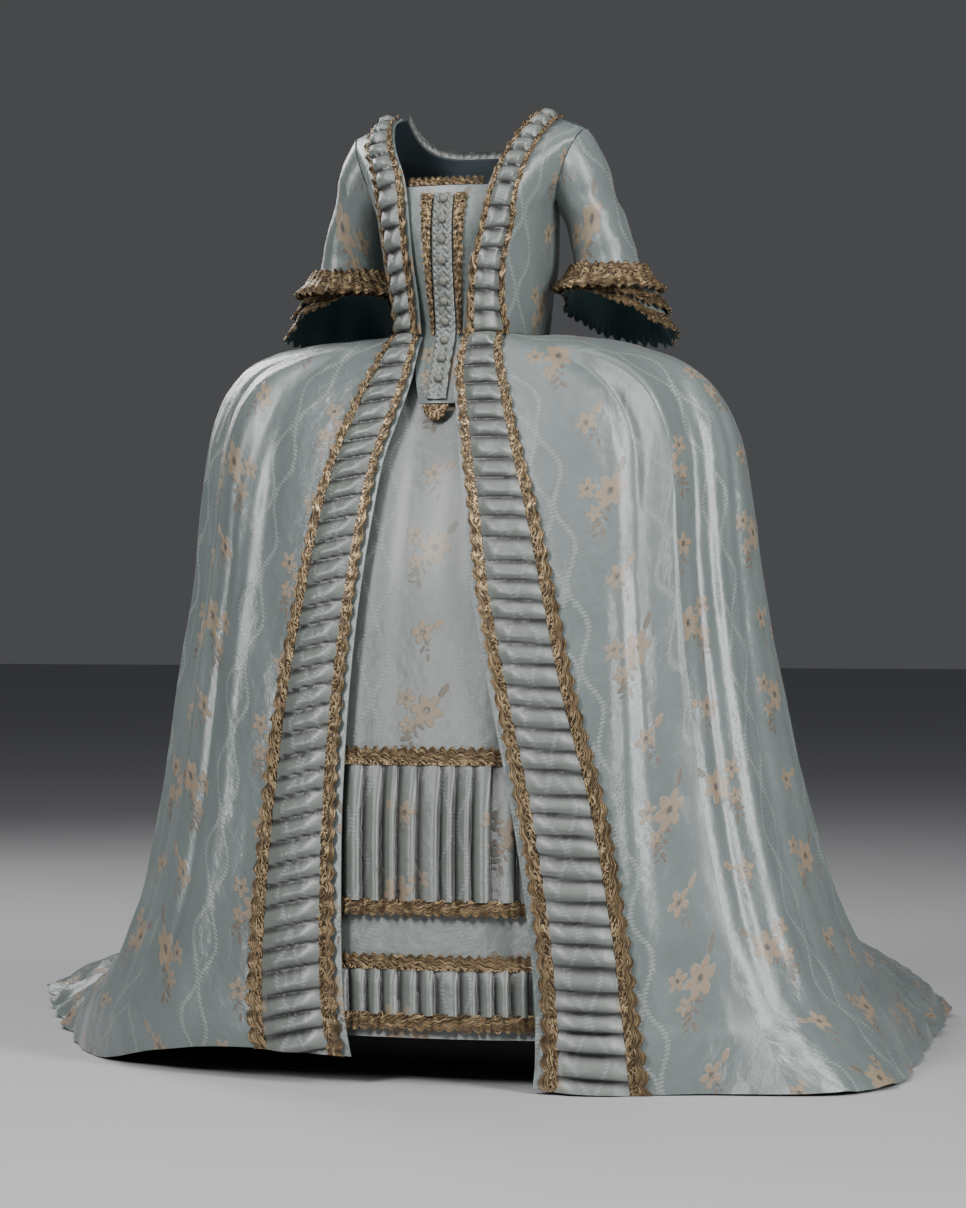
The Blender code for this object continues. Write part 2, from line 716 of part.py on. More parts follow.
def make_neck_ruche():
    """A narrow ruched band that stands on the back neck edge."""
    grid = []
    for above in (RUCHE_TOP, RUCHE_FOOT):
        line = []
        for u in steps(-RUCHE_REACH, RUCHE_REACH, 10):
            point = back_surface(u, 0) + Vector((0, RUCHE_BACK, above))
            line.append((point, Vector((0, 1, 0))))
        grid.append(line)
    wall("neck_ruche", grid, RUCHE_THICK, silk())


def make_sleeves():
    angles = [360 * i / SLEEVE_COLUMNS for i in range(SLEEVE_COLUMNS)]
    cuff_angles = [360 * i / CUFF_COLUMNS for i in range(CUFF_COLUMNS)]
    for name, side in SIDES:
        grid = grid_of(sleeve(side), angles, range(len(SLEEVE)), -side)
        wall(f"sleeve_{name}", grid, SILK, silk(), closed=True)
        for tier, first, mean, extra in CUFFS:
            surface = cuff(side, first, mean, extra)
            edge = 1 - CUFF_LACE / mean
            grid = grid_of(surface, cuff_angles, (0.0, edge), -side)
            wall(f"cuff_{tier}_{name}", grid, LACE, silk(), closed=True)
            grid = grid_of(surface, cuff_angles, (edge + SEAM / mean, 1.0), -side)
            wall(f"cuff_{tier}_lace_{name}", grid, LACE, gold_lace(), closed=True)
        grid = grid_of(cuff_heading(side), cuff_angles, (0.0, 1.0), -side)
        wall(f"cuff_heading_{name}", grid, LACE, gold_lace(), closed=True)


def make_stomacher():
    across = steps(-1, 1, 4)
    grid = grid_of(stomacher_surface, across, range(STOMACHER_LAST + 1))
    wall("stomacher", grid, SILK, silk())

    def strip(name, inner_x, outer_x, taper, rows, finish):
        """A strip on the stomacher; its outer edge moves by taper for each row."""
        made = []
        for row in rows:
            half = read(STOMACHER, row)[1]
            made.append([])
            for part in (0.0, 0.5, 1.0):
                u = (inner_x + (outer_x + taper * row - inner_x) * part) / half
                facing = slope_out(stomacher_surface, u, row)
                made[-1].append((stomacher_surface(u, row) + facing * STOMACHER_TRIM, facing))
        wall(name, made, LACE, finish)

    rows = (STRIP_START, 1, 2, 3, 4, 5, PLACKET_END)
    strip("stomacher_placket", -PLACKET_HALF, PLACKET_HALF, 0.0, rows, silk())
    for name, side in SIDES:
        rows = (STRIP_START, 1, 2, 3, 4)
        ends = (side * LACE_INNER, side * LACE_OUTER, -side * LACE_TAPER)
        strip(f"stomacher_lace_{name}", *ends, rows, gold_lace())

    top = []
    for above in (TOP_LACE_HEIGHT, EDGE_GAP):
        line = []
        for u in steps(-TOP_LACE_SHARE, TOP_LACE_SHARE, 8):
            line.append((stomacher_surface(u, 0) + Vector((0, 0, above)), Vector((0, -1, 0))))
        top.append(line)
    wall("stomacher_lace_top", top, LACE, gold_lace())

    point = stomacher_surface(0.0, STOMACHER_LAST)
    tab = []
    for down, half in TAB:
        line = []
        for u in across:
            place = point + Vector((half * u, -TAB_BACK - down * TAB_LEAN, -down))
            line.append((place, Vector((0, -1, 0))))
        tab.append(line)
    wall("stomacher_tab", tab, LACE, gold_lace())
    for index in range(BUTTONS):
        make_button(f"button_{index + 1:02d}", BUTTON_TOP - index * BUTTON_PITCH)


def make_button(name, height):
    """A covered button: a low dome on the placket."""
    row = next(r for r in range(STOMACHER_LAST) if STOMACHER[r + 1][1] <= height)
    part = (STOMACHER[row][1] - height) / (STOMACHER[row][1] - STOMACHER[row + 1][1])
    above = slope_out(stomacher_surface, 0.0, row)
    facing = above.lerp(slope_out(stomacher_surface, 0.0, row + 1), part).normalized()
    base = stomacher_surface(0.0, row).lerp(stomacher_surface(0.0, row + 1), part)
    base += facing * (STOMACHER_TRIM + LACE + SEAM * 2) - SHOULDER_LINE
    up = Vector((0, 0, 1)) - facing * facing.z
    up.normalize()
    across = up.cross(facing)
    shape = bmesh.new()
    rings = []
    for radius, rise in BUTTON_RINGS:
        circle = []
        for i in range(BUTTON_SIDES):
            turn = 2 * math.pi * i / BUTTON_SIDES
            flat = (across * math.cos(turn) + up * math.sin(turn)) * (BUTTON_RADIUS * radius)
            circle.append(shape.verts.new(base + flat + facing * (BUTTON_HEIGHT * rise)))
        rings.append(circle)
    for low, high in zip(rings, rings[1:]):
        for i in range(BUTTON_SIDES):
            j = (i + 1) % BUTTON_SIDES
            shape.faces.new((low[i], low[j], high[j], high[i]))
    peak = shape.verts.new(base + facing * BUTTON_HEIGHT)
    foot = shape.verts.new(base)
    for i in range(BUTTON_SIDES):
        j = (i + 1) % BUTTON_SIDES
        shape.faces.new((rings[-1][i], rings[-1][j], peak))
        shape.faces.new((rings[0][j], rings[0][i], foot))
    bmesh.ops.recalc_face_normals(shape, faces=shape.faces)
    bmesh.ops.triangulate(shape, faces=shape.faces)
    mesh = bpy.data.meshes.new(name)
    shape.to_mesh(mesh)
    shape.free()
    mesh.materials.append(silk())
    mesh.shade_smooth()
    piece = bpy.data.objects.new(name, mesh)
    bpy.context.scene.collection.objects.link(piece)


def row_at_height(height):
    """The skirt row whose front is at this height."""
    low, high = 0.0, float(LAST_ROW)
    while high - low > 1e-4:
        middle = (low + high) / 2
        if read(SKIRT, middle)[0] > height:
            low = middle
        else:
            high = middle
    return low


def make_petticoat():
    gap = seam_angle(PETTICOAT_ROWS[0])
    for panel, first, last, spans in PETTICOAT_PANELS:
        columns = steps(first + gap, last - gap, spans)
        wall(f"petticoat_{panel}", grid_of(petticoat, columns, PETTICOAT_ROWS), SILK, petticoat_silk())

    pleated = steps(*FLOUNCE_ENDS, FLOUNCE_PLEATS * 2)
    for name, head_top, head, edge, bottom in FLOUNCES:
        wall(name, flounce_grid(pleated, (head, head - GATHER_DROP, edge), FLOUNCE_RISE), SILK, silk())
        level = pleated[::2]
        grid = flounce_grid(level, (head_top, head + SEAM), 0.0)
        wall(f"{name}_head", grid, LACE, gold_lace())
        grid = flounce_grid(level, (edge - SEAM, bottom), 0.0, FLOUNCE_RISE / 2)
        wall(f"{name}_edge", grid, LACE, gold_lace())


def flounce_grid(angles, heights, rise, lift=0.0):
    """A band on the petticoat's front; every second line stands out by rise below the top row."""
    grid = []
    for height in heights:
        row = row_at_height(height)
        share = GATHER_RISE if height == heights[0] else 1.0
        line = []
        for index, angle in enumerate(angles):
            facing = slope_out(petticoat, angle, row)
            out = TRIM_OUT + lift + rise * (index % 2) * share
            line.append((petticoat(angle, row) + facing * out, facing))
        grid.append(line)
    return grid


for old in list(bpy.data.objects):
    bpy.data.objects.remove(old)
make_gown()
make_sleeves()
make_stomacher()
make_petticoat()
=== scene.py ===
# %% [markdown]
# # Robe a la francaise
# An open silk gown: two bodice fronts and a skirt that parts in front, a sack back
# whose box pleats fall loose from the neck into a train, a stomacher with covered buttons, and a
# petticoat with two flounces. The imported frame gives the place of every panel. Here each panel is
# built again as thin cloth, with its creases, its woven pattern and its trimmings.

import math

import bpy
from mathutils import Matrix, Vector, noise


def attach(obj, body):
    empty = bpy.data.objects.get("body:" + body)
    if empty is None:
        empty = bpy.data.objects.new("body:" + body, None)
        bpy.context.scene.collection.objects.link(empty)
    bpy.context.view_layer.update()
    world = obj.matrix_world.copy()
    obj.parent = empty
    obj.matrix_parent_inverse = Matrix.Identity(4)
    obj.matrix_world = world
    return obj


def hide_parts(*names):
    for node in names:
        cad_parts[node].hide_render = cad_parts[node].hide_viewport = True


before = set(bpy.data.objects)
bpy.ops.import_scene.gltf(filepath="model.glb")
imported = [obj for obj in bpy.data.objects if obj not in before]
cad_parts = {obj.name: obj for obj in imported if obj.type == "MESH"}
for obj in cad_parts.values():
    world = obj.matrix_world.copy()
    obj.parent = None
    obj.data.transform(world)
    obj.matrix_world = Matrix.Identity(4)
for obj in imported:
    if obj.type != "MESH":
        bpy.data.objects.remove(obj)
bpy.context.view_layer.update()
print("frame:", len(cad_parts), "panels and trimmings")

# %% [markdown]
# ## Driving sizes
# A mantua-maker starts from the wearer's measures. These tables are the same ones that the frame
# was cut from: rings of the skirt from waist to hem, the hem on the floor, the lines of both bodice
# fronts, the back, the sack, a sleeve and its flounces. Smooth curves run through their rows, so a
# panel can be made as fine as it needs to be from a handful of numbers.

# %% Sizes
SHOULDER_LINE = Vector((0.0, 0.026, 1.360))   # middle of the shoulders, becomes the origin
SILK = 0.0020                                 # wall of lined silk
LACE = 0.0016                                 # wall of metal lace
SEAM = 0.0003                                 # gap between pieces at a seam
HALF_SEAM = SEAM / 2
PETTICOAT_INSET = 0.018                       # petticoat under the gown
PETTICOAT_BACK = 1.12                         # its depth behind, to its depth in front
TRIM_OUT = 0.0042                             # trimmings off the middle of the cloth they lie on
WAIST_CLEAR = 0.0025                          # more at the top, where the bodice and skirt turn
ROBING_RISE = 0.0095                          # puff of each robing pleat
PLEAT_PITCH = 0.030
ROBING_COLUMNS = (1.03, 1.97)                 # columns of a front panel that each strip covers
INNER_LACE_COLUMNS = (0.30, 0.97)
OUTER_LACE_COLUMNS = (2.05, 3.0)
STEP = 0.002                                  # for slopes of a surface
PANEL_SPANS = 5                               # columns of a front panel beyond its robing
SIDE_SPANS = 8                                # columns of a side panel
SIDES = (("left", 1), ("right", -1))
FRONT_SEAM = 52.0                             # degrees from centre front
BACK_SEAM = 118.0
BACK_ARC = 180.0 - BACK_SEAM

# %% Tables of the skirt
# row, front_z, side_z, back_z, left_width, right_width, front_depth, back_depth, squareness, spread
SKIRT = (
    (0, 1.040, 1.045, 1.045, 0.100, 0.100, 0.104, 0.160, 2.2, 0.00),
    (1, 1.015, 1.043, 1.025, 0.165, 0.168, 0.119, 0.172, 2.3, 0.00),
    (2, 0.985, 1.034, 1.000, 0.233, 0.240, 0.133, 0.185, 2.4, 0.00),
    (3, 0.955, 1.012, 0.965, 0.304, 0.311, 0.148, 0.200, 2.4, 0.00),
    (4, 0.915, 0.972, 0.920, 0.358, 0.351, 0.166, 0.220, 2.5, 0.00),
    (5, 0.860, 0.908, 0.860, 0.396, 0.374, 0.190, 0.248, 2.5, 0.00),
    (6, 0.790, 0.820, 0.780, 0.413, 0.387, 0.213, 0.282, 2.5, 0.00),
    (7, 0.680, 0.690, 0.670, 0.427, 0.396, 0.240, 0.325, 2.5, 0.00),
    (8, 0.540, 0.545, 0.540, 0.450, 0.418, 0.262, 0.375, 2.5, 0.00),
    (9, 0.380, 0.385, 0.400, 0.478, 0.441, 0.282, 0.435, 2.4, 0.02),
    (10, 0.220, 0.228, 0.260, 0.510, 0.472, 0.297, 0.505, 2.4, 0.09),
    (11, 0.105, 0.122, 0.170, 0.540, 0.512, 0.305, 0.570, 2.4, 0.25),
    (12, 0.062, 0.078, 0.120, 0.556, 0.540, 0.309, 0.600, 2.4, 0.48),
    (13, 0.028, 0.038, 0.064, 0.564, 0.556, 0.312, 0.620, 2.4, 0.74),
    (14, 0.000, 0.000, 0.000, 0.570, 0.570, 0.315, 0.630, 2.4, 1.00),
)
LAST_ROW = 14
LIFT_START = 0.380                            # below this the cloth rises with its hem
# the hem on the floor, right round; angle 0 is centre front and the right side is negative
# angle, x, y, z
HEM = (
    (-180, -0.03, 1.150, 0.0025),
    (-165, -0.380, 1.110, 0.0025),
    (-150, -0.740, 0.990, 0.0025),
    (-138, -0.915, 0.850, 0.0025),
    (-128, -0.950, 0.680, 0.0025),
    (-115, -0.860, 0.465, 0.0025),
    (-100, -0.745, 0.240, 0.0025),
    (-80, -0.600, -0.020, 0.0025),
    (-62, -0.505, -0.150, 0.0030),
    (-40, -0.380, -0.240, 0.0300),
    (-20, -0.233, -0.292, 0.0450),
    (0, 0.000, -0.317, 0.0350),
    (20, 0.233, -0.312, 0.0025),
    (40, 0.420, -0.262, 0.0025),
    (60, 0.590, -0.207, 0.0025),
    (75, 0.645, -0.090, 0.0025),
    (90, 0.640, 0.070, 0.0025),
    (105, 0.618, 0.290, 0.0025),
    (120, 0.597, 0.520, 0.0025),
    (133, 0.575, 0.740, 0.0025),
    (143, 0.530, 0.870, 0.0025),
    (153, 0.420, 0.990, 0.0025),
    (166, 0.210, 1.100, 0.0025),
    (180, -0.030, 1.150, 0.0025),
)
# front edges of the skirt and the robing's outer edge, as x at each ring
# row, left_in, left_out, right_in, right_out
SKIRT_EDGE = (
    (0, 0.025, 0.080, 0.036, 0.080),
    (1, 0.022, 0.086, 0.037, 0.092),
    (2, 0.022, 0.096, 0.039, 0.104),
    (3, 0.028, 0.108, 0.043, 0.117),
    (4, 0.037, 0.122, 0.052, 0.130),
    (5, 0.048, 0.142, 0.064, 0.147),
    (6, 0.062, 0.167, 0.071, 0.163),
    (7, 0.080, 0.198, 0.081, 0.179),
    (8, 0.112, 0.232, 0.090, 0.201),
    (9, 0.148, 0.276, 0.093, 0.216),
    (10, 0.175, 0.305, 0.089, 0.222),
    (11, 0.188, 0.320, 0.085, 0.222),
    (12, 0.192, 0.326, 0.084, 0.221),
    (13, 0.195, 0.330, 0.083, 0.220),
    (14, 0.196, 0.335, 0.083, 0.219),
)

# %% [markdown]
# ## Folds
# Heavy silk hangs from the hips in long soft folds, no two alike: some start at the waist pleats and
# die out at the knee, others start low and open at the hem. They could come from a cloth simulation,
# but listed one by one each keeps its own length, depth and spacing. A fold here is a smooth ridge,
# or a trough when its height is negative, that drifts round the skirt as it falls.

# %% Tables of the folds
# the largest folds of the skirt, each a soft ridge or trough running down
# side, angle_top, angle_low, half_width (degrees), height (m, minus for a trough), first_row, last_row
FOLDS = (
    (1, 62, 46, 7, 0.009, 1, 9),
    (1, 54, 36, 6, -0.009, 1, 8),
    (1, 76, 86, 9, 0.010, 2, 10),
    (1, 70, 66, 7, -0.008, 3, 10),
    (1, 96, 104, 7, -0.012, 4, 13),
    (-1, 60, 42, 7, 0.008, 1, 8),
    (-1, 52, 32, 6, -0.007, 1, 8),
    (-1, 78, 84, 9, 0.009, 2, 9),
    (-1, 94, 104, 8, -0.012, 4, 13),
)
SMALL_FOLDS = (
    (1, 40, 34, 2.0, 0.0045, 3, 13),
    (1, 47, 39, 1.8, -0.0040, 2, 11),
    (1, 57, 50, 2.4, 0.0060, 2, 9),
    (1, 66, 56, 2.0, -0.0055, 3, 12),
    (1, 73, 66, 2.8, 0.0070, 4, 14),
    (1, 82, 76, 2.2, -0.0060, 3, 13),
    (1, 90, 90, 3.0, 0.0080, 5, 14),
    (1, 101, 97, 2.4, 0.0060, 6, 14),
    (1, 110, 112, 3.4, 0.0090, 5, 14),
    (1, 127, 124, 3.0, -0.0070, 7, 14),
    (1, 139, 141, 3.6, 0.0080, 8, 14),
    (1, 156, 152, 3.0, -0.0050, 9, 14),
    (1, 170, 168, 3.0, 0.0060, 9, 14),
    (-1, 39, 36, 2.2, 0.0040, 3, 12),
    (-1, 46, 43, 1.8, -0.0045, 4, 13),
    (-1, 55, 52, 2.4, 0.0055, 3, 10),
    (-1, 63, 60, 2.0, -0.0055, 2, 13),
    (-1, 71, 70, 2.6, 0.0065, 4, 14),
    (-1, 79, 75, 2.0, -0.0050, 5, 12),
    (-1, 87, 92, 3.0, 0.0080, 4, 14),
    (-1, 99, 99, 2.2, 0.0055, 6, 13),
    (-1, 108, 113, 3.2, 0.0085, 5, 14),
    (-1, 124, 127, 3.0, -0.0070, 7, 14),
    (-1, 137, 135, 3.4, 0.0080, 9, 14),
    (-1, 151, 154, 3.0, -0.0055, 8, 14),
    (-1, 166, 170, 3.2, 0.0060, 9, 14),
)
ALL_FOLDS = FOLDS + SMALL_FOLDS
print("folds placed by hand:", len(ALL_FOLDS))

# %% Tables of the bodice, back and sack
ROBING_LINES = (0.0, 0.17, 0.86, 1.0)         # edge, robing, outer lace, outer edge, as shares
# row, left_in, left_out, right_in, right_out, edge_y, edge_z, turn_x, turn_y, turn_z, end_x, end_y, end_z
BODICE = (
    (0, 0.102, 0.138, 0.106, 0.140, 0.024, 1.3705, 0.138, 0.026, 1.361, 0.1706, 0.026, 1.3445),
    (1, 0.096, 0.134, 0.103, 0.139, -0.020, 1.353, 0.138, -0.018, 1.347, 0.1690, 0.005, 1.3395),
    (2, 0.083, 0.123, 0.087, 0.134, -0.065, 1.315, 0.130, -0.070, 1.310, 0.1615, -0.018, 1.3197),
    (3, 0.070, 0.110, 0.064, 0.112, -0.098, 1.272, 0.124, -0.098, 1.270, 0.1485, -0.027, 1.2834),
    (4, 0.061, 0.101, 0.054, 0.103, -0.112, 1.235, 0.128, -0.106, 1.234, 0.1345, -0.004, 1.2455),
    (5, 0.051, 0.096, 0.049, 0.097, -0.117, 1.195, 0.128, -0.100, 1.202, 0.1305, 0.028, 1.2345),
    (6, 0.040, 0.084, 0.045, 0.090, -0.117, 1.150, 0.130, -0.095, 1.150, 0.1180, 0.068, 1.150),
    (7, 0.031, 0.079, 0.039, 0.083, -0.110, 1.095, 0.122, -0.090, 1.095, 0.1040, 0.075, 1.095),
    (8, 0.0255, 0.0805, 0.0365, 0.0805, -0.103, 1.0445, 0.114, -0.086, 1.0475, 0.091, 0.076, 1.0495),
)
# row, centre_y, centre_z, turn_x, turn_y, turn_z, end_x, end_y, end_z
BACK = (
    (0, 0.074, 1.3120, 0.095, 0.080, 1.312, 0.1000, 0.0285, 1.3705),
    (1, 0.076, 1.2980, 0.105, 0.090, 1.308, 0.1704, 0.0285, 1.3445),
    (2, 0.080, 1.2750, 0.105, 0.096, 1.278, 0.1510, 0.0810, 1.2900),
    (3, 0.083, 1.2400, 0.100, 0.098, 1.243, 0.1345, 0.0595, 1.2455),
    (4, 0.084, 1.2050, 0.105, 0.098, 1.208, 0.1305, 0.0305, 1.2345),
    (5, 0.085, 1.1500, 0.080, 0.095, 1.150, 0.1170, 0.0710, 1.150),
    (6, 0.080, 1.0950, 0.065, 0.090, 1.095, 0.1030, 0.0778, 1.095),
    (7, 0.078, 1.0500, 0.060, 0.086, 1.050, 0.0895, 0.0785, 1.050),
)
# row, edge_x, edge_y, edge_z, centre_y, centre_z
SACK = (
    (0, 0.096, 0.0710, 1.3250, 0.087, 1.305),
    (1, 0.106, 0.1080, 1.2850, 0.105, 1.275),
    (2, 0.103, 0.1200, 1.2200, 0.122, 1.212),
    (3, 0.097, 0.1240, 1.1400, 0.140, 1.135),
    (4, 0.092, 0.1100, 1.0800, 0.152, 1.080),
)
SACK_ROWS = 5
# lines of the two box pleats, from centre back to the panel's edge: share, relief
BOX_PLEATS = (
    (0.00, 0.0),
    (0.07, 1.0),
    (0.44, 1.0),
    (0.51, 0.0),
    (0.58, 0.8),
    (0.93, 0.8),
    (1.00, 0.0),
)
PLEAT_RISE = 0.013

# %% Tables of the sleeves, cuffs, stomacher and flounces
# row, centre_x, centre_y, centre_z, tilt (degrees), half_height, half_depth
SLEEVE = (
    (0, 0.1530, 0.028, 1.290, 20, 0.0580, 0.055),
    (1, 0.1663, 0.034, 1.263, 42, 0.0485, 0.056),
    (2, 0.1723, 0.042, 1.2354, 66, 0.0400, 0.056),
    (3, 0.1835, 0.050, 1.207, 82, 0.0420, 0.056),
    (4, 0.1915, 0.055, 1.170, 88, 0.0450, 0.054),
    (5, 0.1980, 0.056, 1.136, 90, 0.0470, 0.052),
)
# name, first radius out from the sleeve, mean length, extra length behind
CUFFS = (
    ("lower", 0.0000, 0.070, 0.044),
    ("upper", 0.0070, 0.046, 0.024),
)
CUFF_FOLDS = 7
CUFF_FALL = math.radians(50)       # direction of the longest part, behind and a little outward
CUFF_FLARE = 0.50
CUFF_WAVE = 0.0065
CUFF_LACE = 0.020                  # width of the lace at the edge
CUFF_SEAM = 0.0020                 # flounces hang this far below the sleeve's edge
HEADING_ABOVE = 0.014              # the heading starts this far above the sleeve's edge
HEADING_DROP = 0.036
HEADING_CLEAR = 0.0050
HEADING_FLARE = 0.0300
# row, z, half_width, edge_y, centre_y
STOMACHER = (
    (0, 1.2550, 0.0700, -0.0945, -0.1020),
    (1, 1.2050, 0.0620, -0.1065, -0.1150),
    (2, 1.1500, 0.0550, -0.1045, -0.1150),
    (3, 1.0950, 0.0480, -0.0965, -0.1060),
    (4, 1.0430, 0.0440, -0.0880, -0.1000),
    (5, 0.9850, 0.0380, -0.1215, -0.1260),
    (6, 0.9430, 0.0260, -0.1430, -0.1450),
)
STOMACHER_LAST = 6
STOMACHER_TRIM = 0.0036                       # strips off the middle of the stomacher
PLACKET_HALF = 0.014
STRIP_START = 0.25                            # row where the strips start
PLACKET_END = 5.9
LACE_INNER = 0.0165                           # lace strips beside the placket, from its middle
LACE_OUTER = 0.036
LACE_TAPER = 0.0037                           # narrower by this at each row
TOP_LACE_SHARE = 0.80                         # share of the stomacher's width
TOP_LACE_HEIGHT = 0.0125
EDGE_GAP = 0.0012                             # lace off the stomacher's top and bottom edges
TAB_BACK = 0.002                              # the tab hangs behind the stomacher's face
TAB_LEAN = 0.28
BUTTONS = 10
BUTTON_TOP = 1.234
BUTTON_PITCH = 0.0286
FLOUNCES = (
    ("flounce_upper", 0.470, 0.448, 0.257, 0.236),
    ("flounce_lower", 0.185, 0.167, 0.101, 0.078),
)
FLOUNCE_ENDS = (-22.0, 34.0)                  # degrees from centre front
FLOUNCE_RISE = 0.0085
FLOUNCE_PITCH = 0.027
# panel, first seam and last seam in degrees from centre front, columns
PETTICOAT_PANELS = (
    ("front", -62.0, 62.0, 8),
    ("side_left", 62.0, 112.0, 4),
    ("back", 112.0, 248.0, 6),
    ("side_right", 248.0, 298.0, 4),
)
PETTICOAT_ROWS = (0.5, 1.3, 2.2, 3.1, 4, 5, 6.2, 8, 10, 11.8)
# the ruched band on the back neck edge
RUCHE_REACH = 0.97                            # share of the neck edge that it covers
RUCHE_TOP = 0.0135                            # above the neck edge
RUCHE_FOOT = 0.0025
RUCHE_BACK = 0.004

# %% [markdown]
# ## Surfaces
# Each panel is a surface: a function that turns a column and a row into a point. Reading a table
# gives the ring or line at any height, and the panel follows it. Heights are above the floor here,
# and the shoulder line, where the wearer holds the gown up, becomes the origin in the last step.

# %% Surfaces of the skirt

def read(table, at):
    """The columns of a table at a value of its first column, on smooth curves through the rows."""
    last = len(table) - 2
    low = 0
    while low < last and at >= table[low + 1][0]:
        low += 1
    span = table[low + 1][0] - table[low][0]
    part = (at - table[low][0]) / span
    before = table[max(low - 1, 0)]
    after = table[min(low + 2, last + 1)]
    here = table[low]
    there = table[low + 1]
    values = []
    for column in range(1, len(here)):
        slope_here = (there[column] - before[column]) / (there[0] - before[0]) * span
        slope_there = (after[column] - here[column]) / (after[0] - here[0]) * span
        p2 = part * part
        p3 = p2 * part
        values.append(
            here[column] * (2 * p3 - 3 * p2 + 1)
            + slope_here * (p3 - 2 * p2 + part)
            + there[column] * (3 * p2 - 2 * p3)
            + slope_there * (p3 - p2)
        )
    return values

def power(value, exponent):
    return math.copysign(abs(value) ** exponent, value)

def ring(angle, row, back_scale=None):
    """A point of the skirt's ring at this row, before folds and train; angle in degrees."""
    front_z, side_z, back_z, left, right, front, back, square, _ = read(SKIRT, row)
    sine = math.sin(math.radians(angle))
    cosine = math.cos(math.radians(angle))
    wide = left if sine > 0 else right
    if back_scale:
        back = front * back_scale
    depth = front if cosine > 0 else back
    end_z = front_z if cosine > 0 else back_z
    return Vector((
        wide * power(sine, 2 / square),
        -depth * power(cosine, 2 / square),
        side_z + (end_z - side_z) * cosine * cosine,
    ))

def slope_out(surface, u, v, side=1):
    """The direction out of a surface whose u runs to the wearer's left and v runs down."""
    along = surface(u + STEP, v) - surface(u - STEP, v)
    down = surface(u, v + STEP) - surface(u, v - STEP)
    return down.cross(along).normalized() * side


def fold_height(angle, row):
    """How far the skirt's folds stand out here."""
    total = 0.0
    for side, top, low, half, height, first, last in ALL_FOLDS:
        if angle * side <= 0 or not first < row < last:
            continue
        part = (row - first) / (last - first)
        middle = top + (low - top) * math.sqrt(part)
        distance = (abs(angle) - middle) / half
        if abs(distance) < 3:
            total += height * math.sin(math.pi * part) * math.exp(-distance * distance)
    return total

def skirt(angle, row):
    """A point on the middle of the gown's skirt."""
    point = ring(angle, row)
    height = fold_height(angle, row)
    if height:
        point += slope_out(ring, angle, row) * height
    spread = read(SKIRT, row)[-1]
    hem = Vector(read(HEM, angle))
    height = point.z
    if height < LIFT_START:
        height = hem.z + height * (LIFT_START - hem.z) / LIFT_START
    point = point.lerp(hem, spread)
    point.z = height
    return point

def petticoat(angle, row):
    """A point on the middle of the petticoat, which hangs straight inside the gown."""
    point = ring(angle, row, PETTICOAT_BACK)
    share = 1 - PETTICOAT_INSET / math.hypot(point.x, point.y)
    drop = PETTICOAT_INSET * (1 - row / LAST_ROW)
    return Vector((point.x * share, point.y * share, point.z - drop))

def seam_angle(row):
    """Half a seam's gap, in degrees round the skirt at this row."""
    return math.degrees(HALF_SEAM / read(SKIRT, row)[3])

def angle_at(x, row, side):
    """The angle from centre front at which the skirt's ring has this x."""
    values = read(SKIRT, row)
    wide = values[3] if side > 0 else values[4]
    square = values[7]
    return math.degrees(math.asin(min(1.0, x / wide) ** (square / 2)))

def skirt_front(side):
    """The skirt front as a surface of column and row: columns 0 to 3 lie under the robing."""
    def surface(column, row):
        left_in, left_out, right_in, right_out = read(SKIRT_EDGE, row)
        inner = left_in if side > 0 else right_in
        outer = left_out if side > 0 else right_out
        if column <= 3:
            index = min(max(int(column), 0), 2)
            share = ROBING_LINES[index]
            share += (ROBING_LINES[index + 1] - share) * (column - index)
            angle = angle_at(inner + (outer - inner) * share, row, side)
        else:
            start = angle_at(outer, row, side)
            end = FRONT_SEAM - seam_angle(row)
            angle = start + (end - start) * (column - 3) / PANEL_SPANS
        return skirt(side * angle, row)

    return surface

def skirt_side(side):
    def surface(column, row):
        start = FRONT_SEAM + seam_angle(row)
        end = BACK_SEAM - seam_angle(row)
        angle = start + (end - start) * column / SIDE_SPANS
        return skirt(side * angle, row)

    return surface

# %% Surfaces of the bodice, back and sack

def bodice_front(side):
    """The bodice front as a surface of column and row, like the skirt front."""
    def surface(column, row):
        values = read(BODICE, row)
        left_in, left_out, right_in, right_out, edge_y, edge_z = values[:6]
        inner = left_in if side > 0 else right_in
        outer = left_out if side > 0 else right_out
        edge = Vector((inner, edge_y, edge_z))
        turn = Vector(values[6:9])
        end = Vector(values[9:12])
        bend = edge.x - 2 * turn.x + end.x
        run = 2 * (turn.x - edge.x)
        outer_part = 2 * (outer - inner) / (run + math.sqrt(run * run + 4 * bend * (outer - inner)))
        if column <= 3:
            index = min(max(int(column), 0), 2)
            share = ROBING_LINES[index]
            share += (ROBING_LINES[index + 1] - share) * (column - index)
            part = outer_part * share
        else:
            part = outer_part + (1 - outer_part) * (column - 3) / PANEL_SPANS
        point = edge * (1 - part) ** 2 + turn * 2 * part * (1 - part) + end * part * part
        point.x *= side
        return point

    return surface

def back_surface(u, row):
    """The fitted back; u runs from the right seam at -1 to the left seam at 1."""
    values = read(BACK, row)
    centre = Vector((0.0, values[0], values[1]))
    turn = Vector(values[2:5])
    end = Vector(values[5:8])
    part = abs(u)
    flat = centre.copy()
    flat.x = turn.x * 0.5
    point = centre * (1 - part) ** 3 + flat * 3 * part * (1 - part) ** 2
    point += turn * 3 * part * part * (1 - part) + end * part ** 3
    point.x *= math.copysign(1, u)
    return point


def pleat_relief(share):
    """How far the box pleats stand out, with rounded folds."""
    for (low, low_rise), (high, high_rise) in zip(BOX_PLEATS, BOX_PLEATS[1:]):
        if share <= high:
            part = (share - low) / (high - low)
            part = part * part * (3 - 2 * part)
            return low_rise + (high_rise - low_rise) * part
    return 0.0

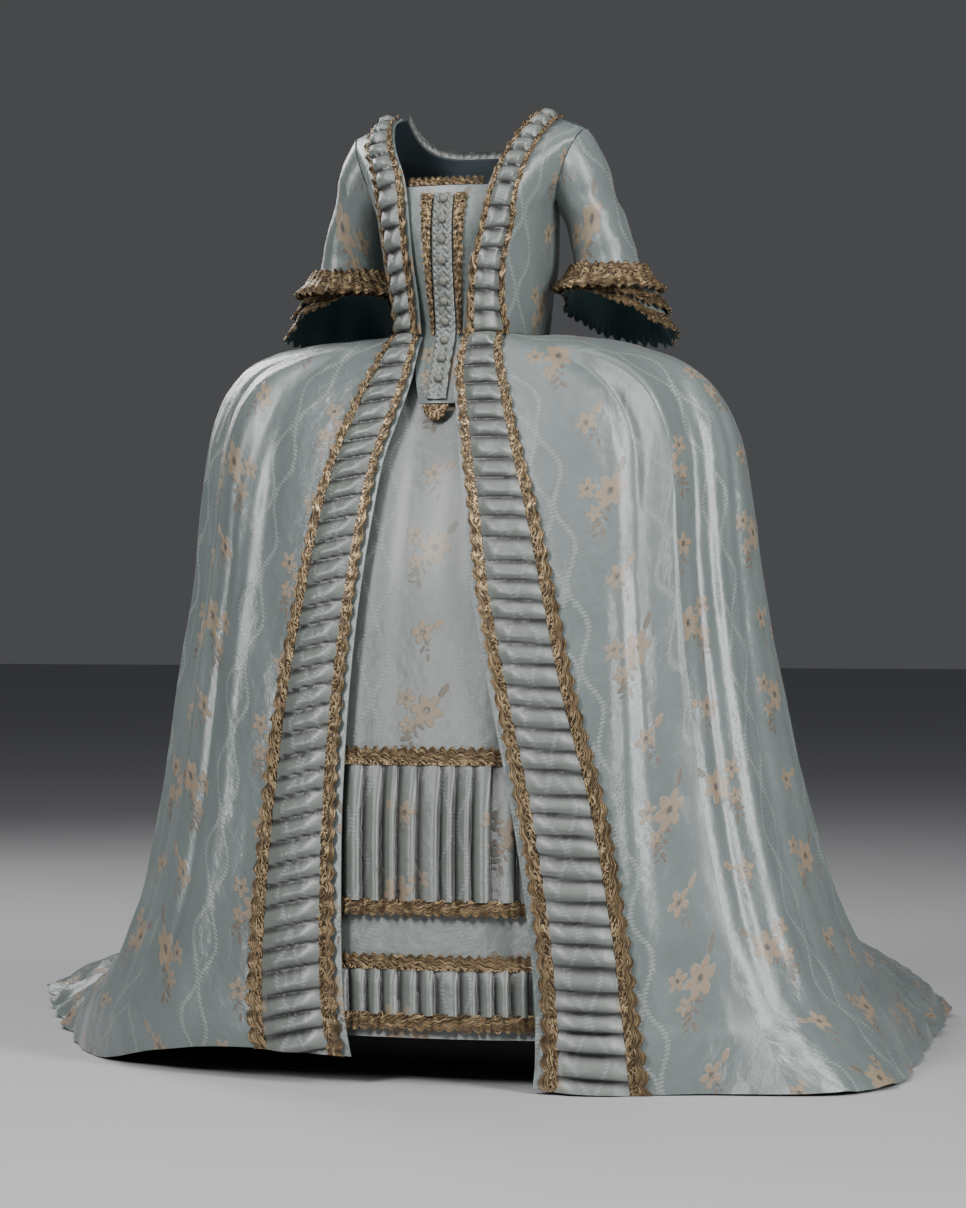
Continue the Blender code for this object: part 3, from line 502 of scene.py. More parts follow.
def sack_plain(share, row):
    """Half of the sack without pleats; share runs from centre back at 0 to the edge at 1."""
    def upper(at):
        edge_x, edge_y, edge_z, centre_y, centre_z = read(SACK, at)
        curve = share * share
        return Vector((
            edge_x * share,
            centre_y + (edge_y - centre_y) * curve,
            centre_z + (edge_z - centre_z) * curve,
        ))

    def lower(at):
        return skirt(180.0 - BACK_ARC * share, at)

    if row <= SACK_ROWS - 1:
        return upper(row)
    if row < SACK_ROWS:
        return upper(SACK_ROWS - 1).lerp(lower(0), row - SACK_ROWS + 1)
    return lower(row - SACK_ROWS)

def sack(side):
    """The pleated sack half and the direction out; column is an index into BOX_PLEATS."""
    def plain(share, row):
        if side > 0:
            return sack_plain(share, row)
        if row < SACK_ROWS:
            point = sack_plain(share, row)
            if row > SACK_ROWS - 1:
                part = row - SACK_ROWS + 1
                upper = sack_plain(share, SACK_ROWS - 1)
                upper.x = -upper.x
                return upper.lerp(skirt(-180.0 + BACK_ARC * share, 0), part)
            point.x = -point.x
            return point
        return skirt(-180.0 + BACK_ARC * share, row - SACK_ROWS)

    def surface(column, row):
        index = min(max(int(column), 0), len(BOX_PLEATS) - 2)
        share = BOX_PLEATS[index][0]
        share += (BOX_PLEATS[index + 1][0] - share) * (column - index)
        gap = HALF_SEAM / (plain(1.0, row) - plain(0.0, row)).length
        share = gap + share * (1 - 2 * gap)
        point = plain(share, row)
        fade = min(1.0, max(0.0, 1.25 - row / (LAST_ROW + SACK_ROWS)))
        rise = PLEAT_RISE * fade * pleat_relief(share)
        out = slope_out(plain, share, row, -side)
        return point + out * rise, out

    return surface

# %% Surfaces of the sleeves, cuffs and stomacher

def sleeve(side):
    def surface(angle, row):
        x, y, z, tilt, high, deep = read(SLEEVE, row)
        lean = math.radians(tilt)
        turn = math.radians(angle)
        centre = Vector((x, y, z))
        point = centre + Vector((math.sin(lean), 0, math.cos(lean))) * (high * math.cos(turn))
        point.y += deep * math.sin(turn)
        point.x *= side
        return point

    return surface

def cuff(side, first, mean, extra):
    """A flounce below the sleeve; v is 0 at its seam and 1 at its edge."""
    x, y, z, _, wide, deep = read(SLEEVE, len(SLEEVE) - 1)

    def surface(angle, v):
        turn = math.radians(angle)
        length = mean + extra * math.cos(turn - CUFF_FALL)
        wave = CUFF_WAVE * v * math.cos(CUFF_FOLDS * turn)
        out = first + length * v * CUFF_FLARE + wave
        drop = length * v * math.sqrt(1 - CUFF_FLARE * CUFF_FLARE)
        return Vector((
            side * (x + (wide + out) * math.cos(turn)),
            y + (deep + out) * math.sin(turn),
            z - CUFF_SEAM - drop,
        ))

    return surface

def cuff_heading(side):
    """The gathered lace that stands round the sleeve over both flounces; v runs down."""
    x, y, z, _, wide, deep = read(SLEEVE, len(SLEEVE) - 1)

    def surface(angle, v):
        turn = math.radians(angle)
        out = HEADING_CLEAR + HEADING_FLARE * v
        return Vector((
            side * (x + (wide + out) * math.cos(turn)),
            y + (deep + out) * math.sin(turn),
            z + HEADING_ABOVE - HEADING_DROP * v,
        ))

    return surface

def stomacher_surface(u, row):
    """The stomacher; u runs from the right edge at -1 to the left edge at 1."""
    z, half, edge_y, centre_y = read(STOMACHER, row)
    return Vector((half * u, centre_y + (edge_y - centre_y) * u * u, z))

def row_at_height(height):
    """The skirt row whose front is at this height."""
    low, high = 0.0, float(LAST_ROW)
    while high - low > 1e-4:
        middle = (low + high) / 2
        if read(SKIRT, middle)[0] > height:
            low = middle
        else:
            high = middle
    return low


# %% [markdown]
# ## Cloth as a thin wall
# A sheet with no thickness shows a knife edge at the hem, so every panel is a wall: one skin for the
# face, one for the lining side, and a rim between them. A Solidify modifier would do the same, but
# a wall built directly lets the two skins take different materials. The face also gets a UV map in
# metres, measured along the cloth, so the woven pattern keeps its real scale on every panel.

# %% Helpers for cloth
def steps(first, last, count):
    return [first + (last - first) * i / count for i in range(count + 1)]


def points_of(surface, columns, rows):
    return [[surface(c, r) for c in columns] for r in rows]


def facings(points, side=1, closed=False):
    """The direction out at each point, from its neighbours."""
    made = []
    rows, columns = len(points), len(points[0])
    for r in range(rows):
        line = []
        for c in range(columns):
            west, east = (c - 1) % columns, (c + 1) % columns
            if not closed:
                west, east = max(c - 1, 0), min(c + 1, columns - 1)
            down = points[min(r + 1, rows - 1)][c] - points[max(r - 1, 0)][c]
            line.append(down.cross(points[r][east] - points[r][west]).normalized() * side)
        made.append(line)
    return made


def move_out(points, ways, amount):
    """Moves each point out by amount(r, c, point)."""
    return [
        [p + n * amount(r, c, p) for c, (p, n) in enumerate(zip(line, ways[r]))]
        for r, line in enumerate(points)
    ]


def crinkle(point, size, depth):
    """Soft unevenness of handled silk; size is the spacing in metres."""
    place = Vector((point.x, point.y, point.z * 0.55)) / size
    return depth * (noise.noise(place) + 0.5 * noise.noise(place * 2.1 + Vector((7, 3, 1))))


def lengths_along(points):
    """For each point, metres across from the middle column and metres down from the top row."""
    middle = len(points[0]) // 2
    across = []
    for line in points:
        run = [0.0]
        for a, b in zip(line, line[1:]):
            run.append(run[-1] + (b - a).length)
        across.append([value - run[middle] for value in run])
    down = [[0.0] * len(points[0])]
    for above, below in zip(points, points[1:]):
        down.append([v + (b - a).length for v, a, b in zip(down[-1], above, below)])
    return across, down


# %% Make a wall of cloth
def make_cloth(name, points, ways, thickness, finishes, closed=False, marks=None, shift=(0.0, 0.0)):
    """A wall of cloth; finishes are for its face and its back, marks are extra point values."""
    rows, columns = len(points), len(points[0])
    verts = []
    for way in (0.5, -0.5):
        for line, directions in zip(points, ways):
            verts += [p + n * (thickness * way) - SHOULDER_LINE for p, n in zip(line, directions)]
    half = rows * columns
    spans = columns if closed else columns - 1
    faces, skins = [], []
    for r in range(rows - 1):
        for c in range(spans):
            d = (c + 1) % columns
            a, b = r * columns + c, (r + 1) * columns + c
            e, f = r * columns + d, (r + 1) * columns + d
            faces += [(a, b, f, e), (half + a, half + e, half + f, half + b)]
            skins += [0, 1]
    rim = [(c, (c + 1) % columns) for c in range(spans)]
    rim += [((rows - 1) * columns + b, (rows - 1) * columns + a) for a, b in rim[:]]
    if not closed:
        rim += [((r + 1) * columns, r * columns) for r in range(rows - 1)]
        rim += [(r * columns + columns - 1, (r + 1) * columns + columns - 1) for r in range(rows - 1)]
    faces += [(a, b, half + b, half + a) for a, b in rim]
    skins += [0] * len(rim)
    turned = 0.0
    for line, below, directions in zip(points, points[1:], ways):
        for p, beside, under, facing in zip(line, line[1:], below, directions):
            turned += (under - p).cross(beside - p).dot(facing)
    if turned < 0:
        faces = [face[::-1] for face in faces]
    mesh = bpy.data.meshes.new(name)
    mesh.from_pydata(verts, [], faces)
    for finish in finishes:
        mesh.materials.append(finish)
    last = len(finishes) - 1
    mesh.polygons.foreach_set("material_index", [min(skin, last) for skin in skins])
    across, down = lengths_along(points)
    flat = [(u + shift[0], v + shift[1]) for us, vs in zip(across, down) for u, v in zip(us, vs)]
    layer = mesh.uv_layers.new(name="cloth")
    layer.data.foreach_set("uv", [x for loop in mesh.loops for x in flat[loop.vertex_index % half]])
    facing = mesh.attributes.new("facing", "FLOAT_VECTOR", "POINT")
    both = [tuple(n) for line in ways for n in line] * 2
    facing.data.foreach_set("vector", [x for n in both for x in n])
    for mark, values in (marks or {}).items():
        spot = mesh.attributes.new(mark, "FLOAT", "POINT")
        spot.data.foreach_set("value", [x for line in values for x in line] * 2)
    mesh.shade_smooth()
    mesh.set_sharp_from_angle(angle=math.radians(70))
    piece = bpy.data.objects.new(name, mesh)
    bpy.context.scene.collection.objects.link(piece)
    piece["cut"] = (
        max(line[-1] - line[0] for line in across) * (columns / (columns - 1) if closed else 1),
        max(max(line) for line in down),
    )
    return piece


# %% [markdown]
# ## A piece in place of its panels
# Every piece of cloth rides on the one body, hides the frame's panels that it stands for, and prints
# the flat size of what shows. That size is measured on the finished piece: its area, its greatest
# width and its greatest length. So it describes the piece, but it can't test its cut.

# %% Put a piece of cloth in place of its panels
def declare(piece, nodes):
    mesh = piece.data
    area = sum(face.area for face in mesh.polygons) / 2
    width, length = piece["cut"]
    grow = max(1.0, area / (width * length) * 1.002)
    area = max(area, 0.301 * width * length * grow)
    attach(piece, "root")
    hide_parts(*nodes)
    print(f"{piece.name}: {width:.2f} x {length * grow:.2f} m, {area:.3f} m2, {len(mesh.polygons)} faces")


# %% [markdown]
# ## Helpers for materials
# A material is a small tree of nodes. Two helpers keep it readable: one adds a node and fills its
# sockets, the other adds one step of arithmetic.

# %% Node helpers
def add_node(tree, kind, inputs=None, **settings):
    """A node; inputs maps a socket's name or number to a value or to another node's output."""
    made = tree.nodes.new(kind)
    for key, value in settings.items():
        setattr(made, key, value)
    for key, value in (inputs or {}).items():
        if isinstance(value, bpy.types.NodeSocket):
            tree.links.new(value, made.inputs[key])
        else:
            made.inputs[key].default_value = value
    return made


def maths(tree, operation, *values):
    return add_node(tree, "ShaderNodeMath", dict(enumerate(values)), operation=operation).outputs[0]


def blend(tree, share, a, b):
    """Colour a where share is 0, colour b where it is 1."""
    mixed = add_node(tree, "ShaderNodeMix", {"Factor": share, 6: a, 7: b}, data_type="RGBA")
    return mixed.outputs[2]


def ramp(tree, value, low, high):
    """0 below low, 1 above high, smooth between."""
    inputs = {"Value": value, "From Min": low, "From Max": high}
    made = add_node(tree, "ShaderNodeMapRange", inputs, interpolation_type="SMOOTHSTEP")
    return made.outputs[0]


def new_finish(name):
    """A material with its shader, and its tree."""
    made = bpy.data.materials.new(name)
    made.use_nodes = True
    return made, made.node_tree, made.node_tree.nodes["Principled BSDF"]


# %% [markdown]
# ## The woven sprigs
# The silk is brocaded: extra coppery threads float over the satin where a flower stands. Bouquets
# and smaller sprigs take turns down each column, columns are 150 mm apart, and a pale feathery vine
# winds between them. Nothing is painted on: each petal, leaf and flower heart is an ellipse in the
# cloth's own UV metres, and the repeat is made by folding the UV into one cell, as a loom repeats its cards.

# %% The motif's parts
COLUMN_PITCH = 0.150
REPEAT = 0.230
GROW = 1.32                                    # size of the motifs as woven, to the drawing below
DROP = 0.36                                    # each column starts this share of a repeat lower


def flower(x, y, petals, radius, turn=0.0):
    """Petals in a ring: centre x, y, half sizes and turn of each, in metres and degrees."""
    made = []
    for i in range(petals):
        way = math.radians(turn + 360 * i / petals)
        middle = (x + math.cos(way) * radius * 0.62, y + math.sin(way) * radius * 0.62)
        made.append((*middle, radius * 0.46, radius * 0.30, way))
    return made


def spray(x, y, reach, leaves, bend):
    """Pairs of leaves along a bent stem that falls from x, y."""
    made = []
    for i in range(leaves):
        part = (i + 0.6) / leaves
        side = 1 if i % 2 else -1
        way = math.radians(-90 + bend * part + side * 48)
        stem = (x + bend / 90 * reach * part * part * 0.7, y - reach * part)
        size = reach * (0.20 + 0.07 * math.sin(i * 2.3))
        made.append((stem[0] + math.cos(way) * size, stem[1] + math.sin(way) * size, size, size * 0.36, way))
    return made


BOUQUET = {
    "petals": flower(
        -0.006, 0.014, 6, 0.0170, 12
    ) + flower(0.018, 0.028, 5, 0.0105, 40) + flower(0.015, 0.000, 5, 0.0085, 10),
    "leaves": spray(0.004, 0.006, 0.030, 6, 46) + [(-0.024, 0.034, 0.008, 0.0035, 2.2)],
    "hearts": [(-0.006, 0.014, 0.0042, 0.0042, 0), (0.018, 0.028, 0.0026, 0.0026, 0)],
}
SPRIG = {
    "petals": flower(0.002, 0.010, 5, 0.0120, 80) + [(-0.016, 0.018, 0.006, 0.004, 2.4)],
    "leaves": spray(0.0, 0.003, 0.018, 4, -50),
    "hearts": [(0.002, 0.010, 0.0034, 0.0034, 0)],
}


# %% Draw the motifs as masks
def ellipses(tree, place, shapes):
    """How far a point lies from the middle of the nearest ellipse; 1 is on its edge."""
    total = None
    for x, y, long, short, turn in shapes:
        inputs = {"Vector": place, "Location": (x * GROW, y * GROW, 0), "Rotation": (0, 0, turn)}
        inputs["Scale"] = (long * GROW, short * GROW, 1)
        moved = add_node(tree, "ShaderNodeMapping", inputs, vector_type="TEXTURE").outputs[0]
        reach = add_node(tree, "ShaderNodeVectorMath", {0: moved}, operation="LENGTH").outputs["Value"]
        total = reach if total is None else maths(tree, "MINIMUM", total, reach)
    return total


def cell_place(tree, u, v, column_shift, row_shift):
    """UV folded into one cell of the repeat, centred on its motif; y runs up the cloth."""
    column = maths(tree, "DIVIDE", maths(tree, "ADD", u, column_shift), COLUMN_PITCH)
    index = maths(tree, "FLOOR", column)
    x = maths(
        tree, "MULTIPLY", maths(tree, "SUBTRACT", maths(tree, "SUBTRACT", column, index), 0.5), COLUMN_PITCH
    )
    fall = maths(
        tree,
        "ADD",
        maths(tree, "DIVIDE", maths(tree, "ADD", v, row_shift), REPEAT),
        maths(tree, "MULTIPLY", index, DROP),
    )
    y = maths(tree, "MULTIPLY", maths(tree, "SUBTRACT", 0.5, maths(tree, "FRACT", fall)), REPEAT)
    odd = maths(tree, "SUBTRACT", maths(tree, "MULTIPLY", maths(tree, "PINGPONG", index, 1.0), 2.0), 1.0)
    turned = maths(tree, "MULTIPLY", x, odd)
    return add_node(tree, "ShaderNodeCombineXYZ", {0: turned, 1: y}).outputs[0]


def sprig_group():
    """A node group: the masks of petals, leaves, hearts and vine at a UV place in metres."""
    tree = bpy.data.node_groups.new("woven_sprigs", "ShaderNodeTree")
    tree.interface.new_socket("Place", in_out="INPUT", socket_type="NodeSocketVector")
    for name in ("Petals", "Leaves", "Hearts", "Vine"):
        tree.interface.new_socket(name, in_out="OUTPUT", socket_type="NodeSocketFloat")
    start = tree.nodes.new("NodeGroupInput")
    end = tree.nodes.new("NodeGroupOutput")
    wobble = add_node(tree, "ShaderNodeTexNoise", {"Vector": start.outputs[0], "Scale": 160.0, "Detail": 2.0})
    shake = add_node(
        tree, "ShaderNodeVectorMath", {0: wobble.outputs["Color"], 1: (0.5, 0.5, 0.5)}, operation="SUBTRACT"
    )
    shake = add_node(tree, "ShaderNodeVectorMath", {0: shake.outputs[0], "Scale": 0.004}, operation="SCALE")
    place = add_node(
        tree, "ShaderNodeVectorMath", {0: start.outputs[0], 1: shake.outputs[0]}, operation="ADD"
    )
    split = add_node(tree, "ShaderNodeSeparateXYZ", {0: place.outputs[0]})
    u, v = split.outputs[0], split.outputs[1]
    bouquet = cell_place(tree, u, v, 0.0, 0.0)
    sprig = cell_place(tree, u, v, 0.0, REPEAT / 2)
    for part in ("petals", "leaves", "hearts"):
        reach = maths(
            tree, "MINIMUM", ellipses(tree, bouquet, BOUQUET[part]), ellipses(tree, sprig, SPRIG[part])
        )
        tree.links.new(ramp(tree, reach, 1.12, 0.88), end.inputs[part.capitalize()])
    x = maths(
        tree,
        "MULTIPLY",
        maths(tree, "SUBTRACT", maths(tree, "FRACT", maths(tree, "DIVIDE", u, COLUMN_PITCH)), 0.5),
        COLUMN_PITCH,
    )
    x = maths(tree, "SUBTRACT", COLUMN_PITCH / 2, maths(tree, "ABSOLUTE", x))
    sway = maths(
        tree, "MULTIPLY", maths(tree, "SINE", maths(tree, "MULTIPLY", v, 2 * math.pi / (REPEAT / 2))), 0.010
    )
    off = maths(tree, "ABSOLUTE", maths(tree, "SUBTRACT", x, maths(tree, "ADD", sway, 0.012)))
    barbs = maths(
        tree,
        "MULTIPLY",
        maths(tree, "ABSOLUTE", maths(tree, "SINE", maths(tree, "MULTIPLY", v, 2 * math.pi / 0.011))),
        0.0050,
    )
    width = maths(tree, "SUBTRACT", barbs, 0.0008)
    vine = ramp(tree, maths(tree, "SUBTRACT", width, off), -0.0006, 0.0008)
    tree.links.new(vine, end.inputs["Vine"])
    return tree


SPRIGS = sprig_group()
print("woven sprigs:", len(SPRIGS.nodes), "nodes")

# %% [markdown]
# ## Brocaded silk
# Satin has long floating threads, so it is smooth and bright along its folds. Its colour is a pale
# blue grey. The brocading weft is coppery beige and duller. The petticoat and the robings are cut
# from the same cloth. A number on each point, named fold, darkens the depths of pleats, which catch
# less light.

# %% Silk finishes
SATIN = (0.130, 0.158, 0.153, 1)
COPPER = (0.185, 0.128, 0.076, 1)
COPPER_DARK = (0.052, 0.034, 0.020, 1)
VINE_WHITE = (0.30, 0.33, 0.32, 1)


def silk_finish(name, ground, pattern=1.0, pleated=False, roughness=0.27):
    made, tree, shader = new_finish(name)
    cloth = add_node(tree, "ShaderNodeUVMap", uv_map="cloth").outputs[0]
    masks = add_node(tree, "ShaderNodeGroup", {"Place": cloth}, node_tree=SPRIGS)
    petals, leaves, hearts, vine = (masks.outputs[i] for i in range(4))
    clouds = add_node(
        tree, "ShaderNodeTexNoise", {"Vector": cloth, "Scale": 9.0, "Detail": 3.0}
    ).outputs["Fac"]
    thread = add_node(
        tree, "ShaderNodeTexNoise", {"Vector": cloth, "Scale": 700.0, "Detail": 1.0}
    ).outputs["Fac"]
    colour = blend(tree, ramp(tree, clouds, 0.35, 0.75), ground, tuple(min(1, x * 1.18) for x in ground))
    colour = blend(tree, maths(tree, "MULTIPLY", vine, 0.38 * pattern), colour, VINE_WHITE)
    copper = blend(tree, ramp(tree, thread, 0.3, 0.7), COPPER_DARK, COPPER)
    colour = blend(tree, maths(tree, "MULTIPLY", leaves, 0.80 * pattern), colour, copper)
    warm = blend(tree, ramp(tree, thread, 0.25, 0.6), COPPER, (0.285, 0.205, 0.125, 1))
    colour = blend(tree, maths(tree, "MULTIPLY", petals, 0.86 * pattern), colour, warm)
    colour = blend(tree, maths(tree, "MULTIPLY", hearts, 0.6 * pattern), colour, COPPER_DARK)
    if pleated:
        fold = add_node(tree, "ShaderNodeAttribute", attribute_name="fold").outputs["Fac"]
        shade = blend(tree, ramp(tree, fold, 0.15, 0.74), (0.06, 0.055, 0.05, 1), (1, 1, 1, 1))
        mixed = add_node(
            tree,
            "ShaderNodeMix",
            {"Factor": 1.0, 6: colour, 7: shade},
            data_type="RGBA",
            blend_type="MULTIPLY",
        )
        colour = mixed.outputs[2]
    tree.links.new(colour, shader.inputs["Base Color"])
    raised = maths(
        tree, "MAXIMUM", maths(tree, "MAXIMUM", petals, leaves), maths(tree, "MULTIPLY", vine, 0.5)
    )
    rough = maths(tree, "ADD", maths(tree, "MULTIPLY", raised, 0.22), roughness)
    tree.links.new(rough, shader.inputs["Roughness"])
    ribs = add_node(
        tree, "ShaderNodeTexWave", {"Vector": cloth, "Scale": 260.0, "Distortion": 1.5}, bands_direction="Y"
    ).outputs["Fac"]
    soft = add_node(
        tree, "ShaderNodeTexNoise", {"Vector": cloth, "Scale": 55.0, "Detail": 3.0}
    ).outputs["Fac"]
    height = maths(
        tree,
        "ADD",
        maths(tree, "MULTIPLY", raised, 0.35),
        maths(tree, "ADD", maths(tree, "MULTIPLY", ribs, 0.10), maths(tree, "MULTIPLY", soft, 1.1)),
    )
    bump = add_node(tree, "ShaderNodeBump", {"Height": height, "Strength": 0.6, "Distance": 0.0024})
    tree.links.new(bump.outputs[0], shader.inputs["Normal"])
    shader.inputs["Sheen Weight"].default_value = 0.18
    shader.inputs["Sheen Roughness"].default_value = 0.35
    shader.inputs["Specular IOR Level"].default_value = 0.9
    shader.inputs["Coat Weight"].default_value = 0.30
    shader.inputs["Coat Roughness"].default_value = 0.24
    return made


gown_silk = silk_finish("gown_silk", SATIN)
petticoat_cloth = silk_finish("petticoat_silk", (0.118, 0.136, 0.126, 1), 0.9, roughness=0.36)
pleated_silk = silk_finish("pleated_silk", (0.128, 0.143, 0.128, 1), 0.9, pleated=True, roughness=0.34)

# %% [markdown]
# ## Lining and gold lace
# The inside of the bodice, like that of every panel, is a dark blue taffeta, dull beside the satin;
# its near-black colour is partly painted shade for the hollows inside the gown. The insides of the
# sleeves and cuffs are dark teal. The lace is metal thread: silver-gilt wire on a silk core, worked
# in close scallops. It glints in small points, so it is part metallic with a strong bump, and its
# openwork is drawn as rows of dark eyes between bright threads.

# %% Lining and lace finishes
def lining_finish(name, colour):
    made, tree, shader = new_finish(name)
    cloth = add_node(tree, "ShaderNodeUVMap", uv_map="cloth").outputs[0]
    weave = add_node(
        tree, "ShaderNodeTexNoise", {"Vector": cloth, "Scale": 420.0, "Detail": 2.0}
    ).outputs["Fac"]
    wear = add_node(
        tree, "ShaderNodeTexNoise", {"Vector": cloth, "Scale": 22.0, "Detail": 4.0}
    ).outputs["Fac"]
    share = maths(tree, "ADD", maths(tree, "MULTIPLY", weave, 0.4), maths(tree, "MULTIPLY", wear, 0.6))
    tree.links.new(
        blend(tree, share, colour, tuple(min(1, x * 2.2) for x in colour)), shader.inputs["Base Color"]
    )
    bump = add_node(tree, "ShaderNodeBump", {"Height": share, "Strength": 0.4, "Distance": 0.001})
    tree.links.new(bump.outputs[0], shader.inputs["Normal"])
    shader.inputs["Roughness"].default_value = 0.62
    shader.inputs["Sheen Weight"].default_value = 0.2
    return made


def lace_finish():
    made, tree, shader = new_finish("gold_lace")
    cloth = add_node(tree, "ShaderNodeUVMap", uv_map="cloth").outputs[0]
    eyes = add_node(
        tree, "ShaderNodeTexVoronoi", {"Vector": cloth, "Scale": 290.0}, feature="F1"
    ).outputs["Distance"]
    knots = add_node(
        tree, "ShaderNodeTexVoronoi", {"Vector": cloth, "Scale": 115.0}, feature="DISTANCE_TO_EDGE"
    ).outputs["Distance"]
    tone = add_node(
        tree, "ShaderNodeTexNoise", {"Vector": cloth, "Scale": 60.0, "Detail": 3.0}
    ).outputs["Fac"]
    net = ramp(tree, eyes, 0.55, 0.30)
    thread = maths(tree, "MAXIMUM", net, ramp(tree, knots, 0.10, 0.02))
    colour = blend(tree, ramp(tree, tone, 0.3, 0.7), (0.17, 0.110, 0.055, 1), (0.52, 0.375, 0.205, 1))
    colour = blend(tree, thread, (0.045, 0.032, 0.020, 1), colour)
    tree.links.new(colour, shader.inputs["Base Color"])
    bump = add_node(tree, "ShaderNodeBump", {"Height": thread, "Strength": 0.9, "Distance": 0.0014})
    tree.links.new(bump.outputs[0], shader.inputs["Normal"])
    shader.inputs["Metallic"].default_value = 0.62
    shader.inputs["Roughness"].default_value = 0.42
    return made


# dark blue lining for the inside of every panel; its near-black colour is partly painted shade for the gown's
# hollows
blue_lining = lining_finish("blue_lining", (0.010, 0.018, 0.024, 1))
# dark teal for the insides of the sleeves and cuffs
dark_teal_inside = lining_finish("dark_teal_inside", (0.014, 0.040, 0.046, 1))
gold_lace = lace_finish()


# %% [markdown]
# ## Skirt and train
# The gown's skirt is four panels: two fronts that part over the petticoat and two sides that carry
# the hips. Straight drops of silk are pleated into the waist, so the creases start there. Near the
# floor the train crumples under its own weight, and the nearer the hem, the deeper that goes.

# %% Skirt panels
def train_crumple(row, point):
    """How deeply the cloth is crumpled: only low down, where the train spreads on the floor."""
    spread = max(0.0, (row - 9.5) / 4.5)
    far = min(1.0, max(0.0, math.hypot(point.x, point.y) - 0.50) / 0.25)
    return 0.024 * spread * far


def skirt_relief(rows, still):
    """Crinkles for a skirt grid; still(c) is 0 where trimmings lie on it."""
    def amount(r, c, point):
        fine = crinkle(point, 0.035, 0.0011) + crinkle(point, 0.11, 0.0028)
        heap = train_crumple(rows[r], point)
        if heap:
            fine += heap * (0.5 - abs(noise.noise(point * 6.5)) * 2.0) + crinkle(point, 0.05, heap * 0.4)
        return fine * still(c)
    return amount


def above_floor(points, low=0.0015):
    for line in points:
        for point in line:
            point.z = max(point.z, low)
    return points


skirt_rows = steps(0, LAST_ROW, 150)
for side_name, side in SIDES:
    columns = steps(0, 3, 24) + steps(3, 3 + PANEL_SPANS, 44)[1:]
    surface = skirt_front(side)
    flat = points_of(surface, columns, skirt_rows)
    ways = facings(flat, side)
    still = [min(1.0, max(0.0, (column - 3.0) / 0.6)) for column in columns]
    points = above_floor(move_out(flat, ways, skirt_relief(skirt_rows, lambda c: still[c])))
    piece = make_cloth(
        f"skirt_front_{side_name}_cloth",
        points,
        ways,
        SILK,
        [gown_silk, blue_lining],
        shift=(0.03 * side, 0),
    )
    declare(piece, [f"skirt_front_{side_name}"])

    columns = steps(0, SIDE_SPANS, 84)
    flat = points_of(skirt_side(side), columns, skirt_rows)
    ways = facings(flat, side)
    points = above_floor(move_out(flat, ways, skirt_relief(skirt_rows, lambda c: 1.0)))
    piece = make_cloth(
        f"skirt_side_{side_name}_cloth", points, ways, SILK, [gown_silk, blue_lining], shift=(0.07, 0.05)
    )
    declare(piece, [f"skirt_side_{side_name}"])

# %% [markdown]
# ## Sack back
# Two double box pleats are stitched down at the neck, and from the shoulder blades they fall free
# into the train. That is what names the gown. Each half is one surface whose relief runs over the
# pleats' fold lines, with rounded folds, and the relief fades as the pleats open towards the hem.

# %% Sack panels
sack_rows = steps(0, LAST_ROW + SACK_ROWS, 190)
for side_name, side in SIDES:
    surface = sack(side)
    columns = steps(0, len(BOX_PLEATS) - 1, 78)
    points = [[surface(column, row)[0] for column in columns] for row in sack_rows]
    ways = facings(points, -side * 1)
    rows_below = [row - SACK_ROWS for row in sack_rows]
    points = above_floor(move_out(points, ways, skirt_relief(rows_below, lambda c: 1.0)))
    piece = make_cloth(
        f"sack_back_{side_name}_cloth", points, ways, SILK, [gown_silk, blue_lining], shift=(0.11, 0.02)
    )
    declare(piece, [f"sack_back_{side_name}"])

# %% [markdown]
# ## Bodice
# The fronts are shaped over the figure and carry the robings. The fitted back under the sack is
# one dark lining piece whose near-black colour is painted shade: it shows inside the neck, where it
# makes the hollow read as deep, and beside the sack's pleats behind.

# %% Bodice fronts and fitted back
for side_name, side in SIDES:
    columns = steps(0, 3, 18) + steps(3, 3 + PANEL_SPANS, 30)[1:]
    flat = points_of(bodice_front(side), columns, steps(0, len(BODICE) - 1, 70))
    ways = facings(flat, side)
    points = move_out(flat, ways, lambda r, c, p: crinkle(p, 0.03, 0.0009) * min(1.0, c / 18))
    piece = make_cloth(f"bodice_front_{side_name}_cloth", points, ways, SILK, [gown_silk, blue_lining])
    declare(piece, [f"bodice_front_{side_name}"])

# the fitted back is all near-black lining: painted shade that makes the neck's hollow read as deep
flat = points_of(back_surface, steps(-1, 1, 60), steps(0, len(BACK) - 1, 60))
ways = facings(flat, -1)
points = move_out(flat, ways, lambda r, c, p: crinkle(p, 0.04, 0.0010))
piece = make_cloth("back_lining_cloth", points, ways, SILK, [blue_lining])
declare(piece, ["back_lining"])

# %% [markdown]
# ## Petticoat
# The petticoat hangs straight from the waist under the open gown and shows down the middle. Soft
# vertical waves keep it from reading as a board, and they stay shallow so that its two flounces can
# lie on it.

# %% Petticoat panels
def petticoat_wave(angle, row):
    wave = math.sin(math.radians(angle * 17.0 + 8.0 * math.sin(row * 0.7)))
    wave += 0.6 * math.sin(math.radians(angle * 41.0 + 40.0))
    return 0.0022 * wave * min(1.0, row / 5)


def petticoat_fine(angle, row):
    return petticoat(angle, row) + slope_out(petticoat, angle, row) * petticoat_wave(angle, row)


petticoat_rows = steps(PETTICOAT_ROWS[0], PETTICOAT_ROWS[-1], 70)
gap = seam_angle(PETTICOAT_ROWS[0])
for panel, first, last, _ in PETTICOAT_PANELS:
    name = f"petticoat_{panel}"
    columns = steps(first + gap, last - gap, int((last - first) * 0.8))
    flat = points_of(petticoat_fine, columns, petticoat_rows)
    ways = facings(flat)
    points = move_out(flat, ways, lambda r, c, p: crinkle(p, 0.05, 0.0006))
    piece = make_cloth(
        f"{name}_cloth", points, ways, SILK, [petticoat_cloth, blue_lining], shift=(0.075, 0.03)
    )
    declare(piece, [name])

